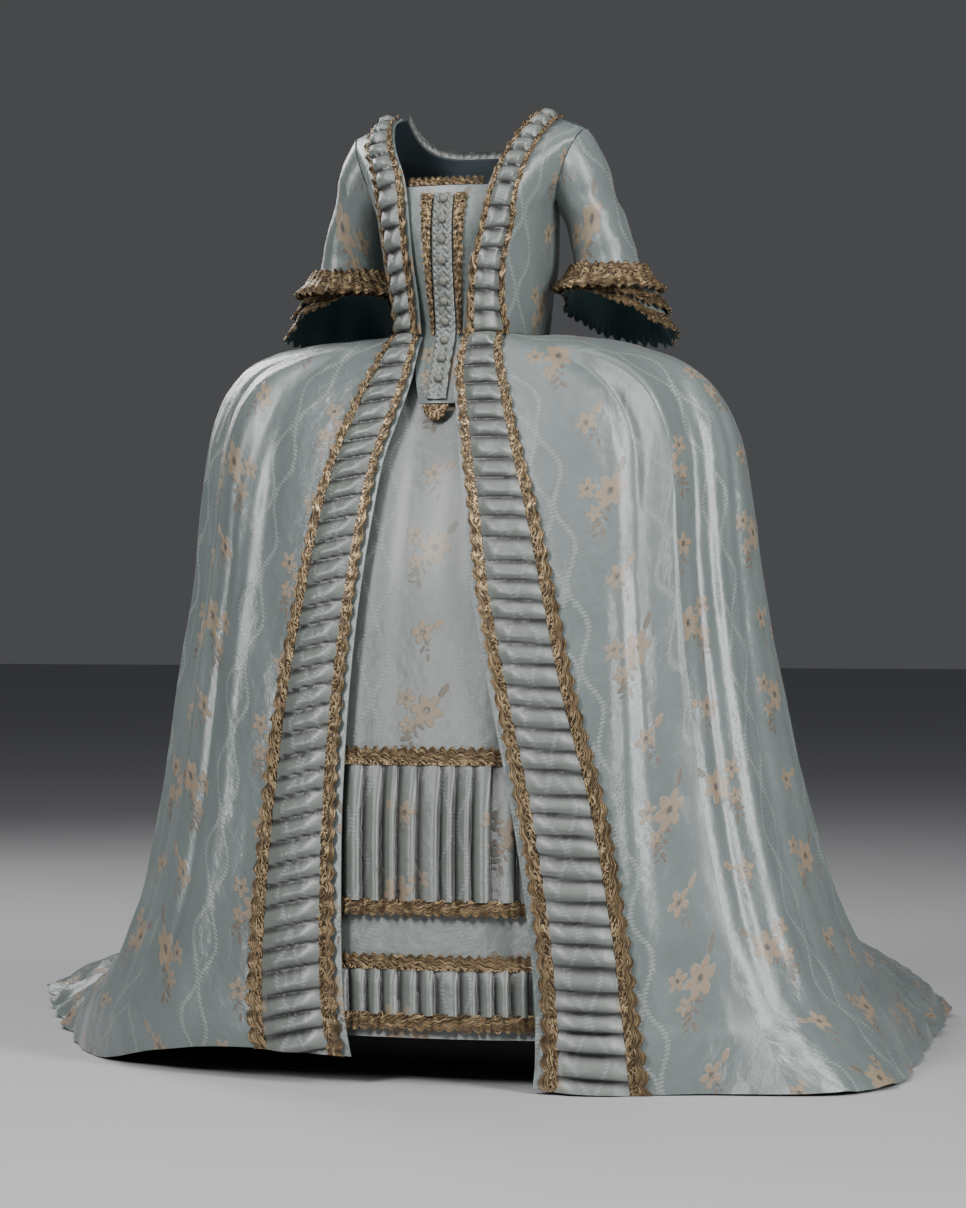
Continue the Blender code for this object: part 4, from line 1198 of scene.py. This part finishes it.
# %% [markdown]
# ## Pleated trimmings, by one rule
# Robings, flounces, the band under the buttons and the neck ruche are all the same idea: a band
# gathered at an even pitch, so it puffs between its stitches. A Geometry Nodes tree holds that rule.
# It reads how far along the band each point is, folds that length into pleats, and moves the point
# out along the cloth's own facing. Pitch, rise and unevenness are inputs, so one tree serves every
# band, and the tree also stores how high each point stands, which the silk uses to shade its depths.

# %% The pleating tree
def pleat_tree(finish):
    tree = bpy.data.node_groups.new(f"pleating_{finish.name}", "GeometryNodeTree")
    tree.interface.new_socket("Geometry", in_out="INPUT", socket_type="NodeSocketGeometry")
    sizes = (("Pitch", 0.03), ("Rise", 0.006), ("Uneven", 0.3), ("Lean", 1.5), ("Seed", 1.0))
    for name, value in sizes:
        tree.interface.new_socket(name, in_out="INPUT", socket_type="NodeSocketFloat").default_value = value
    tree.interface.new_socket("Geometry", in_out="OUTPUT", socket_type="NodeSocketGeometry")
    start = tree.nodes.new("NodeGroupInput")
    end = tree.nodes.new("NodeGroupOutput")
    pitch, rise, uneven, lean, seed = (start.outputs[name] for name, _ in sizes)

    def named(name, kind):
        return add_node(tree, "GeometryNodeInputNamedAttribute", {"Name": name}, data_type=kind).outputs[0]

    length = maths(tree, "DIVIDE", named("along", "FLOAT"), pitch)
    place = add_node(
        tree, "ShaderNodeCombineXYZ", {0: maths(tree, "MULTIPLY", length, 0.45), 1: seed}
    ).outputs[0]
    jitter = add_node(tree, "ShaderNodeTexNoise", {"Vector": place, "Scale": 1.0, "Detail": 1.0})
    shift = maths(
        tree,
        "MULTIPLY",
        maths(tree, "SUBTRACT", jitter.outputs[0], 0.5),
        maths(tree, "MULTIPLY", uneven, 2.0),
    )
    part = maths(tree, "FRACT", maths(tree, "ADD", length, shift))
    bow = maths(tree, "SINE", maths(tree, "MULTIPLY", maths(tree, "POWER", part, lean), math.pi))
    puff = maths(tree, "POWER", maths(tree, "MAXIMUM", bow, 0.0), 0.45)
    swell = maths(tree, "MULTIPLY", puff, named("swell", "FLOAT"))
    uneven_rise = maths(tree, "ADD", 0.70, maths(tree, "MULTIPLY", jitter.outputs[0], 0.6))
    amount = maths(tree, "MULTIPLY", maths(tree, "MULTIPLY", swell, rise), uneven_rise)
    offset = add_node(
        tree,
        "ShaderNodeVectorMath",
        {0: named("facing", "FLOAT_VECTOR"), "Scale": amount},
        operation="SCALE",
    )
    moved = add_node(
        tree, "GeometryNodeSetPosition", {"Geometry": start.outputs[0], "Offset": offset.outputs[0]}
    )
    kept = add_node(
        tree,
        "GeometryNodeStoreNamedAttribute",
        {"Geometry": moved.outputs[0], "Name": "fold", "Value": puff},
        data_type="FLOAT",
        domain="POINT",
    )
    real = add_node(tree, "GeometryNodeRealizeInstances", {"Geometry": kept.outputs[0]})
    dressed = add_node(tree, "GeometryNodeSetMaterial", {"Geometry": real.outputs[0], "Material": finish})
    tree.links.new(dressed.outputs[0], end.inputs[0])
    return tree


def run_tree(piece, tree, **inputs):
    """Runs a tree on a piece and keeps the result as a plain mesh."""
    modifier = piece.modifiers.new("rule", "NODES")
    modifier.node_group = tree
    for item in tree.interface.items_tree:
        if item.in_out == "INPUT" and item.name.lower() in inputs:
            modifier[item.identifier] = inputs[item.name.lower()]
    seen = piece.evaluated_get(bpy.context.evaluated_depsgraph_get())
    mesh = bpy.data.meshes.new_from_object(seen)
    piece.modifiers.remove(modifier)
    old = piece.data
    piece.data = mesh
    bpy.data.meshes.remove(old)
    mesh.name = piece.name
    print(f"{piece.name}: {len(mesh.polygons)} faces by rule")


PLEATING = pleat_tree(pleated_silk)


def made_band(name, points, ways, along, swell, thickness, **sizes):
    """A pleated band: along is metres along it at each point, swell how free it is to rise."""
    marks = {"along": along, "swell": swell}
    piece = make_cloth(name, points, ways, thickness, [pleated_silk], marks=marks)
    run_tree(piece, PLEATING, **sizes)
    return piece


def down_lengths(points, column):
    run = [0.0]
    for above, below in zip(points, points[1:]):
        run.append(run[-1] + (below[column] - above[column]).length)
    return run


# %% [markdown]
# ## Robings
# A broad band of crosswise pleats borders each front from the shoulder to the hem. The pleats are
# caught along both edges and puff between, and on the wearer's right they are slanted a little
# more. The slant comes from adding a share of the distance across to the distance along.

# %% Robings
ROBING_SLANT = {"left": 0.05, "right": 0.24}      # metres along for each metre across

for side_name, side in SIDES:
    for part, surface_of, first, last, fine in (
        ("bodice", bodice_front, 0.0, len(BODICE) - 1.0, 150),
        ("skirt", skirt_front, 0.0, LAST_ROW, 460),
    ):
        rows = steps(first, last, fine)
        columns = steps(*ROBING_COLUMNS, 12)
        flat = points_of(surface_of(side), columns, rows)
        ways = facings(flat, side)
        lift = [TRIM_OUT + (WAIST_CLEAR * max(0.0, 1 - row) if part == "skirt" else 0.0) for row in rows]
        run = down_lengths(flat, 6)
        along, swell, points = [], [], []
        for r, line in enumerate(flat):
            width = (line[-1] - line[0]).length
            along.append([run[r] + ROBING_SLANT[side_name] * width * (0.5 - c / 12) for c in range(13)])
            swell.append([max(0.12, min(1.0, 5.0 * (c / 12) * (1 - c / 12))) for c in range(13)])
            points.append([p + n * lift[r] for p, n in zip(line, ways[r])])
        piece = made_band(
            f"robing_{part}_{side_name}_cloth", points, ways, along, swell, SILK,
            pitch=PLEAT_PITCH, rise=ROBING_RISE, uneven=0.34, lean=2.1, seed=side * 3.0 + fine,
        )
        declare(piece, [f"robing_{part}_{side_name}"])

# %% [markdown]
# ## Flounces
# Two flounces cross the petticoat: pleats stand straight down from a gathered head under a band of
# gold lace, and a second band of lace weights the edge. The pleats start flat at the head and open
# downwards, so the swell grows from the head to the edge.

# %% Flounces
for name, head_top, head, edge, bottom in FLOUNCES:
    rows = [row_at_height(head + (edge - head) * i / 40) for i in range(41)]
    flat = points_of(petticoat_fine, steps(*FLOUNCE_ENDS, 420), rows)
    ways = facings(flat)
    points = move_out(flat, ways, lambda r, c, p: TRIM_OUT)
    across, _ = lengths_along(flat)
    swell = [[0.30 + 0.70 * min(1.0, i / 14)] * 421 for i in range(41)]
    piece = made_band(
        f"{name}_cloth", points, ways, [[u + 3.0 for u in line] for line in across], swell, SILK,
        pitch=FLOUNCE_PITCH, rise=FLOUNCE_RISE, uneven=0.60, lean=2.4, seed=head * 40,
    )
    declare(piece, [name])

# %% [markdown]
# ## Gold lace
# Bands of metal lace edge the robings, flounces and cuffs. A real band is woven flat with a
# scalloped edge and then eased on, so it ripples. Each band here is a strip on its panel: its outer
# edge swings in scallops and its face ripples a little, more towards the free edge.

# %% Helpers for lace bands
SCALLOP = 0.014
picots = []


def lace_band(name, base, ways, ends, nodes, scallop=SCALLOP, ripple=0.0016, bite=0.24):
    """A band on a grid that runs along its rows; ends says which of its two edges are scalloped."""
    count = len(base[0]) - 1
    run = down_lengths(base, count // 2)
    points = []
    for r, line in enumerate(base):
        wave = abs(math.sin(math.pi * run[r] / scallop))
        made = []
        for c in range(count + 1):
            part = c / count
            low = bite * (1 - wave) * ends[0]
            high = 1 - bite * (1 - wave) * ends[1]
            at = (low + (high - low) * part) * count
            k = min(int(at), count - 1)
            free = max(ends[0] * (1 - part), ends[1] * part, 0.25)
            lift = ripple * free * math.sin(
                2 * math.pi * run[r] / (scallop * 0.83) + 2.2 * math.sin(run[r] * 31)
            )
            made.append(line[k].lerp(line[k + 1], at - k) + ways[r][c] * (lift + ripple * 0.4))
        points.append(made)
        if r % 4 == 0:
            picots.extend((made[-e], ways[r][-e]) for e in (0, 1) if ends[e])
    piece = make_cloth(name, points, ways, LACE, [gold_lace])
    declare(piece, nodes)
    return piece


# %% Lace beside the robings
for side_name, side in SIDES:
    for part, surface_of, first, last, fine in (
        ("bodice", bodice_front, 0.0, len(BODICE) - 1.0, 150),
        ("skirt", skirt_front, 0.0, LAST_ROW, 460),
    ):
        for edge, ends, columns in (
            ("inner", (1, 0), (INNER_LACE_COLUMNS[0], INNER_LACE_COLUMNS[1] + 0.10)),
            ("outer", (0, 1), (OUTER_LACE_COLUMNS[0] - 0.10, OUTER_LACE_COLUMNS[1])),
        ):
            rows = steps(first, last, fine)
            flat = points_of(surface_of(side), steps(*columns, 6), rows)
            ways = facings(flat, side)
            base = []
            for row, line, directions in zip(rows, flat, ways):
                lift = TRIM_OUT + 0.0016 + (WAIST_CLEAR * max(0.0, 1 - row) if part == "skirt" else 0.0)
                base.append([p + n * lift for p, n in zip(line, directions)])
            name = f"lace_{edge}_{part}_{side_name}"
            lace_band(f"{name}_band", base, ways, ends, [name], scallop=0.026, bite=0.34)


# %% Lace on the flounces
def turned(grid):
    """Rows and columns swapped, so that a band round the skirt runs along its rows."""
    return [list(line) for line in zip(*grid)]


for name, head_top, head, edge, bottom in FLOUNCES:
    for part, top, low, ends, lift in (
        ("head", head_top, head - 0.004, (1, 0), 0.0030),
        ("edge", edge + 0.003, bottom, (0, 1), 0.0060),
    ):
        rows = [row_at_height(top + (low - top) * i / 6) for i in range(7)]
        flat = points_of(petticoat_fine, steps(*FLOUNCE_ENDS, 330), rows)
        ways = facings(flat)
        base = [
            [
                p + n * (
                    TRIM_OUT + lift + 0.0022 * math.sin(c * 0.33 + math.sin(c * 0.05)) * (part == "edge")
                )
                for c, (p, n) in enumerate(zip(line, directions))
            ]
            for line, directions in zip(flat, ways)
        ]
        lace_band(f"{name}_{part}_band", turned(base), turned(ways), ends, [f"{name}_{part}"])

# %% [markdown]
# ## Sleeves and their flounces
# The sleeve ends at the elbow, where two flounces hang, short over the arm's bend and long behind.
# Silk wrinkles across a bent arm, so the creases there run round the sleeve. The flounces flare in
# even folds, and gold lace edges both and stands up round their seam.

# %% Sleeves
def sleeve_relief(rows):
    def amount(r, c, point):
        low = min(1.0, rows[r] / 4)
        ring_crease = noise.noise(Vector((point.x * 9, point.y * 9, point.z * 46)))
        return (0.0028 * ring_crease * low + crinkle(point, 0.03, 0.0010)) * min(1.0, rows[r] * 2)
    return amount


def closed_points(surface, count, rows):
    return [[surface(360 * i / count, row) for i in range(count)] for row in rows]


for side_name, side in SIDES:
    rows = steps(0, len(SLEEVE) - 1, 48)
    flat = closed_points(sleeve(side), 72, rows)
    ways = facings(flat, side, closed=True)
    points = move_out(flat, ways, sleeve_relief(rows))
    piece = make_cloth(f"sleeve_{side_name}_cloth", points, ways, SILK, [gown_silk, dark_teal_inside], closed=True)
    declare(piece, [f"sleeve_{side_name}"])

    for tier, first, mean, extra in CUFFS:
        surface = cuff(side, first, mean, extra)
        edge = 1 - CUFF_LACE / mean
        flat = closed_points(surface, 252, steps(0, edge, 9))
        ways = facings(flat, side, closed=True)
        points = move_out(flat, ways, lambda r, c, p: crinkle(p, 0.02, 0.0012) * r / 9)
        piece = make_cloth(
            f"cuff_{tier}_{side_name}_cloth", points, ways, LACE, [gown_silk, dark_teal_inside], closed=True
        )
        declare(piece, [f"cuff_{tier}_{side_name}"])

        flat = closed_points(surface, 252, steps(edge - 0.02, 1.0, 6))
        ways = facings(flat, side, closed=True)
        points = []
        for r, line in enumerate(flat):
            made = []
            for c, p in enumerate(line):
                scallops = abs(math.sin(math.pi * c / 252 * 42))
                p = p.lerp(flat[0][c], 0.30 * (1 - scallops) * r / 6)
                ripple = 0.0018 * (r / 6) * math.sin(2 * math.pi * c / 252 * 63)
                made.append(p + ways[r][c] * (ripple + 0.0014))
            points.append(made)
        picots.extend((points[-1][c], ways[-1][c]) for c in range(0, 252, 4))
        piece = make_cloth(
            f"cuff_{tier}_lace_{side_name}_band", points, ways, LACE, [gold_lace, dark_teal_inside], closed=True
        )
        declare(piece, [f"cuff_{tier}_lace_{side_name}"])

    flat = closed_points(cuff_heading(side), 252, steps(0, 1, 8))
    ways = facings(flat, side, closed=True)
    points = []
    for r, line in enumerate(flat):
        made = []
        for c, p in enumerate(line):
            free = abs(r / 4 - 1)
            ruffle = 0.0036 * free * math.sin(2 * math.pi * c / 252 * 29 + math.sin(c * 0.3))
            made.append(p + ways[r][c] * ruffle)
        points.append(made)
    picots.extend((points[-1][c], ways[-1][c]) for c in range(0, 252, 4))
    piece = make_cloth(f"cuff_heading_{side_name}_band", points, ways, LACE, [gold_lace], closed=True)
    declare(piece, [f"cuff_heading_{side_name}"])

# %% [markdown]
# ## Stomacher
# A stiff panel fills the front between the robings. A placket of ruched silk runs down its middle
# under the buttons, a strip of lace lies on each side, a scalloped lace stands along the top, and a
# rounded tab of lace hangs at the point.

# %% Stomacher and its trimmings
flat = points_of(stomacher_surface, steps(-1, 1, 40), steps(0, STOMACHER_LAST, 80))
ways = facings(flat)
points = move_out(flat, ways, lambda r, c, p: crinkle(p, 0.03, 0.0005))
piece = make_cloth("stomacher_cloth", points, ways, SILK, [gown_silk, blue_lining], shift=(0.075, 0.06))
declare(piece, ["stomacher"])


def stomacher_strip(inner, outer, taper, rows, count):
    made = []
    for row in rows:
        half = read(STOMACHER, row)[1]
        made.append(
            [
                stomacher_surface(
                    (inner + (outer + taper * row - inner) * i / count) / half, row
                ) for i in range(count + 1)
            ]
        )
    return made


rows = steps(STRIP_START, PLACKET_END, 240)
flat = stomacher_strip(-PLACKET_HALF, PLACKET_HALF, 0.0, rows, 16)
ways = facings(flat)
points = move_out(flat, ways, lambda r, c, p: STOMACHER_TRIM)
run = down_lengths(flat, 8)
along = [[run[r] + 0.004 * math.sin(c * 0.9) for c in range(17)] for r in range(len(rows))]
swell = [
    [
        min(1.0, 0.05 + 1.6 * abs(c / 8 - 1)) * (0.4 if c in (0, 16) else 1.0) for c in range(17)
    ] for _ in rows
]
piece = made_band(
    "stomacher_placket_cloth", points, ways, along, swell, LACE,
    pitch=0.0105, rise=0.0034, uneven=0.45, lean=1.3, seed=5.0,
)
declare(piece, ["stomacher_placket"])

for side_name, side in SIDES:
    rows = steps(STRIP_START, 4, 130)
    ends = (side * LACE_INNER, side * LACE_OUTER, -side * LACE_TAPER)
    flat = stomacher_strip(*ends, rows, 6)
    ways = facings(flat, side)
    base = move_out(flat, ways, lambda r, c, p: STOMACHER_TRIM)
    name = f"stomacher_lace_{side_name}"
    lace_band(f"{name}_band", base, ways, (0, 1), [name], scallop=0.012, bite=0.20)

base, ways = [], []
for u in steps(-TOP_LACE_SHARE, TOP_LACE_SHARE, 150):
    foot = stomacher_surface(u, 0)
    base.append([foot + Vector((0, 0, EDGE_GAP + (TOP_LACE_HEIGHT - EDGE_GAP) * i / 6)) for i in range(7)])
    ways.append([Vector((0, -1, 0))] * 7)
lace_band("stomacher_lace_top_band", base, ways, (0, 1), ["stomacher_lace_top"], scallop=0.0105, bite=0.40)

tip = stomacher_surface(0.0, STOMACHER_LAST)
base, ways = [], []
for u in steps(-1, 1, 48):
    reach = 0.0245 * math.sqrt(max(0.06, 1 - u * u)) if abs(u) > 0.3 else 0.0245 * math.sqrt(1 - u * u)
    line = []
    for i in range(9):
        down = EDGE_GAP + (reach - EDGE_GAP) * i / 8
        line.append(tip + Vector((0.019 * u, -TAB_BACK - down * TAB_LEAN, -down)))
    base.append(line)
    ways.append([Vector((0, -1, 0))] * 9)
lace_band("stomacher_tab_band", base, ways, (0, 1), ["stomacher_tab"], scallop=0.008, bite=0.12)

# %% Neck ruche
points, along = [], []
for i in range(17):
    above = RUCHE_FOOT + (RUCHE_TOP - RUCHE_FOOT) * i / 16
    points.append(
        [back_surface(u, 0) + Vector((0, RUCHE_BACK, above)) for u in steps(-RUCHE_REACH, RUCHE_REACH, 200)]
    )
across, _ = lengths_along(points)
ways = [[Vector((0, 1, 0))] * 201 for _ in range(17)]
swell = [[math.sin(math.pi * i / 16) * 0.9 + 0.1] * 201 for i in range(17)]
piece = made_band(
    "neck_ruche_cloth", points, ways, [[u + 1.0 for u in line] for line in across], swell, 0.0040,
    pitch=0.012, rise=0.0034, uneven=0.4, lean=1.2, seed=9.0,
)
declare(piece, ["neck_ruche"])

# %% [markdown]
# ## Buttons and picots, set out on points
# Covered buttons stand in a row down the placket, and fine loops of wire, the picots, run along
# every scalloped edge. Both are one small shape set on many points. A Geometry Nodes tree puts the
# shape on each point of a guide mesh, turns it to the cloth's facing and makes the copies real.

# %% The tree that sets shapes on points
def setting_tree(name, finish, build):
    tree = bpy.data.node_groups.new(name, "GeometryNodeTree")
    tree.interface.new_socket("Geometry", in_out="INPUT", socket_type="NodeSocketGeometry")
    for size in ("Radius", "Height"):
        tree.interface.new_socket(size, in_out="INPUT", socket_type="NodeSocketFloat").default_value = 0.002
    tree.interface.new_socket("Geometry", in_out="OUTPUT", socket_type="NodeSocketGeometry")
    start = tree.nodes.new("NodeGroupInput")
    end = tree.nodes.new("NodeGroupOutput")
    facing = add_node(
        tree, "GeometryNodeInputNamedAttribute", {"Name": "facing"}, data_type="FLOAT_VECTOR"
    ).outputs[0]
    turn = add_node(tree, "FunctionNodeAlignRotationToVector", {"Vector": facing}, axis="Z").outputs[0]
    shape = build(tree, start.outputs["Radius"], start.outputs["Height"])
    inputs = {"Points": start.outputs[0], "Instance": shape, "Rotation": turn}
    spread = add_node(tree, "GeometryNodeInstanceOnPoints", inputs)
    real = add_node(tree, "GeometryNodeRealizeInstances", {"Geometry": spread.outputs[0]})
    smooth = add_node(tree, "GeometryNodeSetShadeSmooth", {"Geometry": real.outputs[0]})
    dressed = add_node(tree, "GeometryNodeSetMaterial", {"Geometry": smooth.outputs[0], "Material": finish})
    tree.links.new(dressed.outputs[0], end.inputs[0])
    return tree


def button_shape(tree, radius, height):
    ball = add_node(tree, "GeometryNodeMeshUVSphere", {"Segments": 24, "Rings": 12, "Radius": 1.0})
    size = add_node(tree, "ShaderNodeCombineXYZ", {0: radius, 1: radius, 2: height}).outputs[0]
    return add_node(tree, "GeometryNodeTransform", {"Geometry": ball.outputs[0], "Scale": size}).outputs[0]


def picot_shape(tree, radius, height):
    loop = add_node(tree, "GeometryNodeCurvePrimitiveCircle", {"Resolution": 7, "Radius": radius}).outputs[0]
    wire = add_node(tree, "GeometryNodeCurvePrimitiveCircle", {"Resolution": 3, "Radius": height}).outputs[0]
    return add_node(tree, "GeometryNodeCurveToMesh", {"Curve": loop, "Profile Curve": wire}).outputs[0]


def set_out(name, places, tree, **sizes):
    mesh = bpy.data.meshes.new(name)
    mesh.from_pydata([p - SHOULDER_LINE for p, _ in places], [], [])
    facing = mesh.attributes.new("facing", "FLOAT_VECTOR", "POINT")
    facing.data.foreach_set("vector", [x for _, n in places for x in n])
    piece = bpy.data.objects.new(name, mesh)
    bpy.context.scene.collection.objects.link(piece)
    run_tree(piece, tree, **sizes)
    return piece


# %% Buttons
button_silk, button_tree, button_shader = new_finish("button_silk")
grain = add_node(button_tree, "ShaderNodeTexCoord").outputs["Object"]
weave = add_node(
    button_tree, "ShaderNodeTexNoise", {"Vector": grain, "Scale": 900.0, "Detail": 2.0}
).outputs["Fac"]
tone = add_node(
    button_tree, "ShaderNodeTexNoise", {"Vector": grain, "Scale": 120.0, "Detail": 2.0}
).outputs["Fac"]
button_tree.links.new(
    blend(button_tree, tone, (0.10, 0.105, 0.090, 1), (0.20, 0.19, 0.155, 1)),
    button_shader.inputs["Base Color"],
)
dimple = add_node(button_tree, "ShaderNodeBump", {"Height": weave, "Strength": 0.5, "Distance": 0.0006})
button_tree.links.new(dimple.outputs[0], button_shader.inputs["Normal"])
button_shader.inputs["Roughness"].default_value = 0.42

places = []
for index in range(BUTTONS):
    height = BUTTON_TOP - index * BUTTON_PITCH
    row = next(r for r in range(STOMACHER_LAST * 50) if read(STOMACHER, r / 50)[0] <= height) / 50
    facing = slope_out(stomacher_surface, 0.0, row)
    places.append((stomacher_surface(0.0, row) + facing * (STOMACHER_TRIM + 0.0040), facing))
piece = set_out(
    "covered_buttons",
    places,
    setting_tree("buttons", button_silk, button_shape),
    radius=0.0062,
    height=0.0046,
)
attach(piece, "root")
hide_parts(*[f"button_{index + 1:02d}" for index in range(BUTTONS)])

# %% Picots
piece = set_out(
    "lace_picots", picots, setting_tree("picots", gold_lace, picot_shape), radius=0.0013, height=0.0004
)
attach(piece, "root")
print("picots:", len(picots))

# %% [markdown]
# ## Studio
# A plain pale floor lies in a plain dark grey world. A large soft key stands to the front left,
# a tall light stands to the front right, and both draw long highlights down the satin. A light from
# behind and one from above open the shadows.

# %% Floor
def plain_finish(name, colour, roughness):
    made, tree, shader = new_finish(name)
    place = add_node(tree, "ShaderNodeTexCoord").outputs["Object"]
    tone = add_node(tree, "ShaderNodeTexNoise", {"Vector": place, "Scale": 1.5, "Detail": 3.0}).outputs["Fac"]
    tree.links.new(blend(tree, tone, colour, tuple(x * 0.93 for x in colour)), shader.inputs["Base Color"])
    shader.inputs["Roughness"].default_value = roughness
    return made


def stage_sheet(name, corners, finish):
    mesh = bpy.data.meshes.new(name)
    mesh.from_pydata(corners, [], [(0, 1, 2, 3)])
    mesh.materials.append(finish)
    sheet = bpy.data.objects.new(name, mesh)
    bpy.context.scene.collection.objects.link(sheet)


FLOOR = -SHOULDER_LINE.z
REACH = 30                                    # metres of floor to each side
floor_corners = [(x * REACH, y * REACH, FLOOR) for x, y in ((-1, -1), (1, -1), (1, 1), (-1, 1))]
stage_sheet("floor", floor_corners, plain_finish("pale_floor", (0.46, 0.46, 0.47, 1), 0.7))


# %% Lights, room colour and camera
def area_light(name, place, aim, size, power):
    data = bpy.data.lights.new(name, "AREA")
    data.energy = power
    data.shape = "RECTANGLE"
    data.size, data.size_y = size
    lamp = bpy.data.objects.new(name, data)
    lamp.location = place
    lamp.rotation_euler = (Vector(aim) - Vector(place)).to_track_quat("-Z", "Y").to_euler()
    bpy.context.scene.collection.objects.link(lamp)


area_light("key", (-1.6, -3.6, 1.9), (0.1, 0.0, -0.6), (1.1, 1.7), 165)
area_light("side", (3.4, -1.8, 0.9), (0.2, 0.0, -0.7), (0.8, 2.2), 175)
area_light("rim", (-2.8, 2.2, 1.6), (0.0, 0.2, -0.6), (1.2, 1.6), 70)
area_light("sky", (0.3, -1.5, 2.8), (0.3, -0.6, -1.36), (2.6, 2.6), 60)

world = bpy.data.worlds.new("studio")
world.use_nodes = True
world.node_tree.nodes["Background"].inputs["Color"].default_value = (0.070, 0.072, 0.076, 1)
world.node_tree.nodes["Background"].inputs["Strength"].default_value = 1.0
bpy.context.scene.world = world

camera_data = bpy.data.cameras.new("camera")
camera_data.lens = 102.75
camera_data.sensor_width = 36
camera_data.dof.use_dof = False
camera = bpy.data.objects.new("camera", camera_data)
camera.location = (1.4841, -4.8007, -0.70)
camera.rotation_euler = (math.radians(90), 0, math.radians(17))
bpy.context.scene.collection.objects.link(camera)
bpy.context.scene.camera = camera
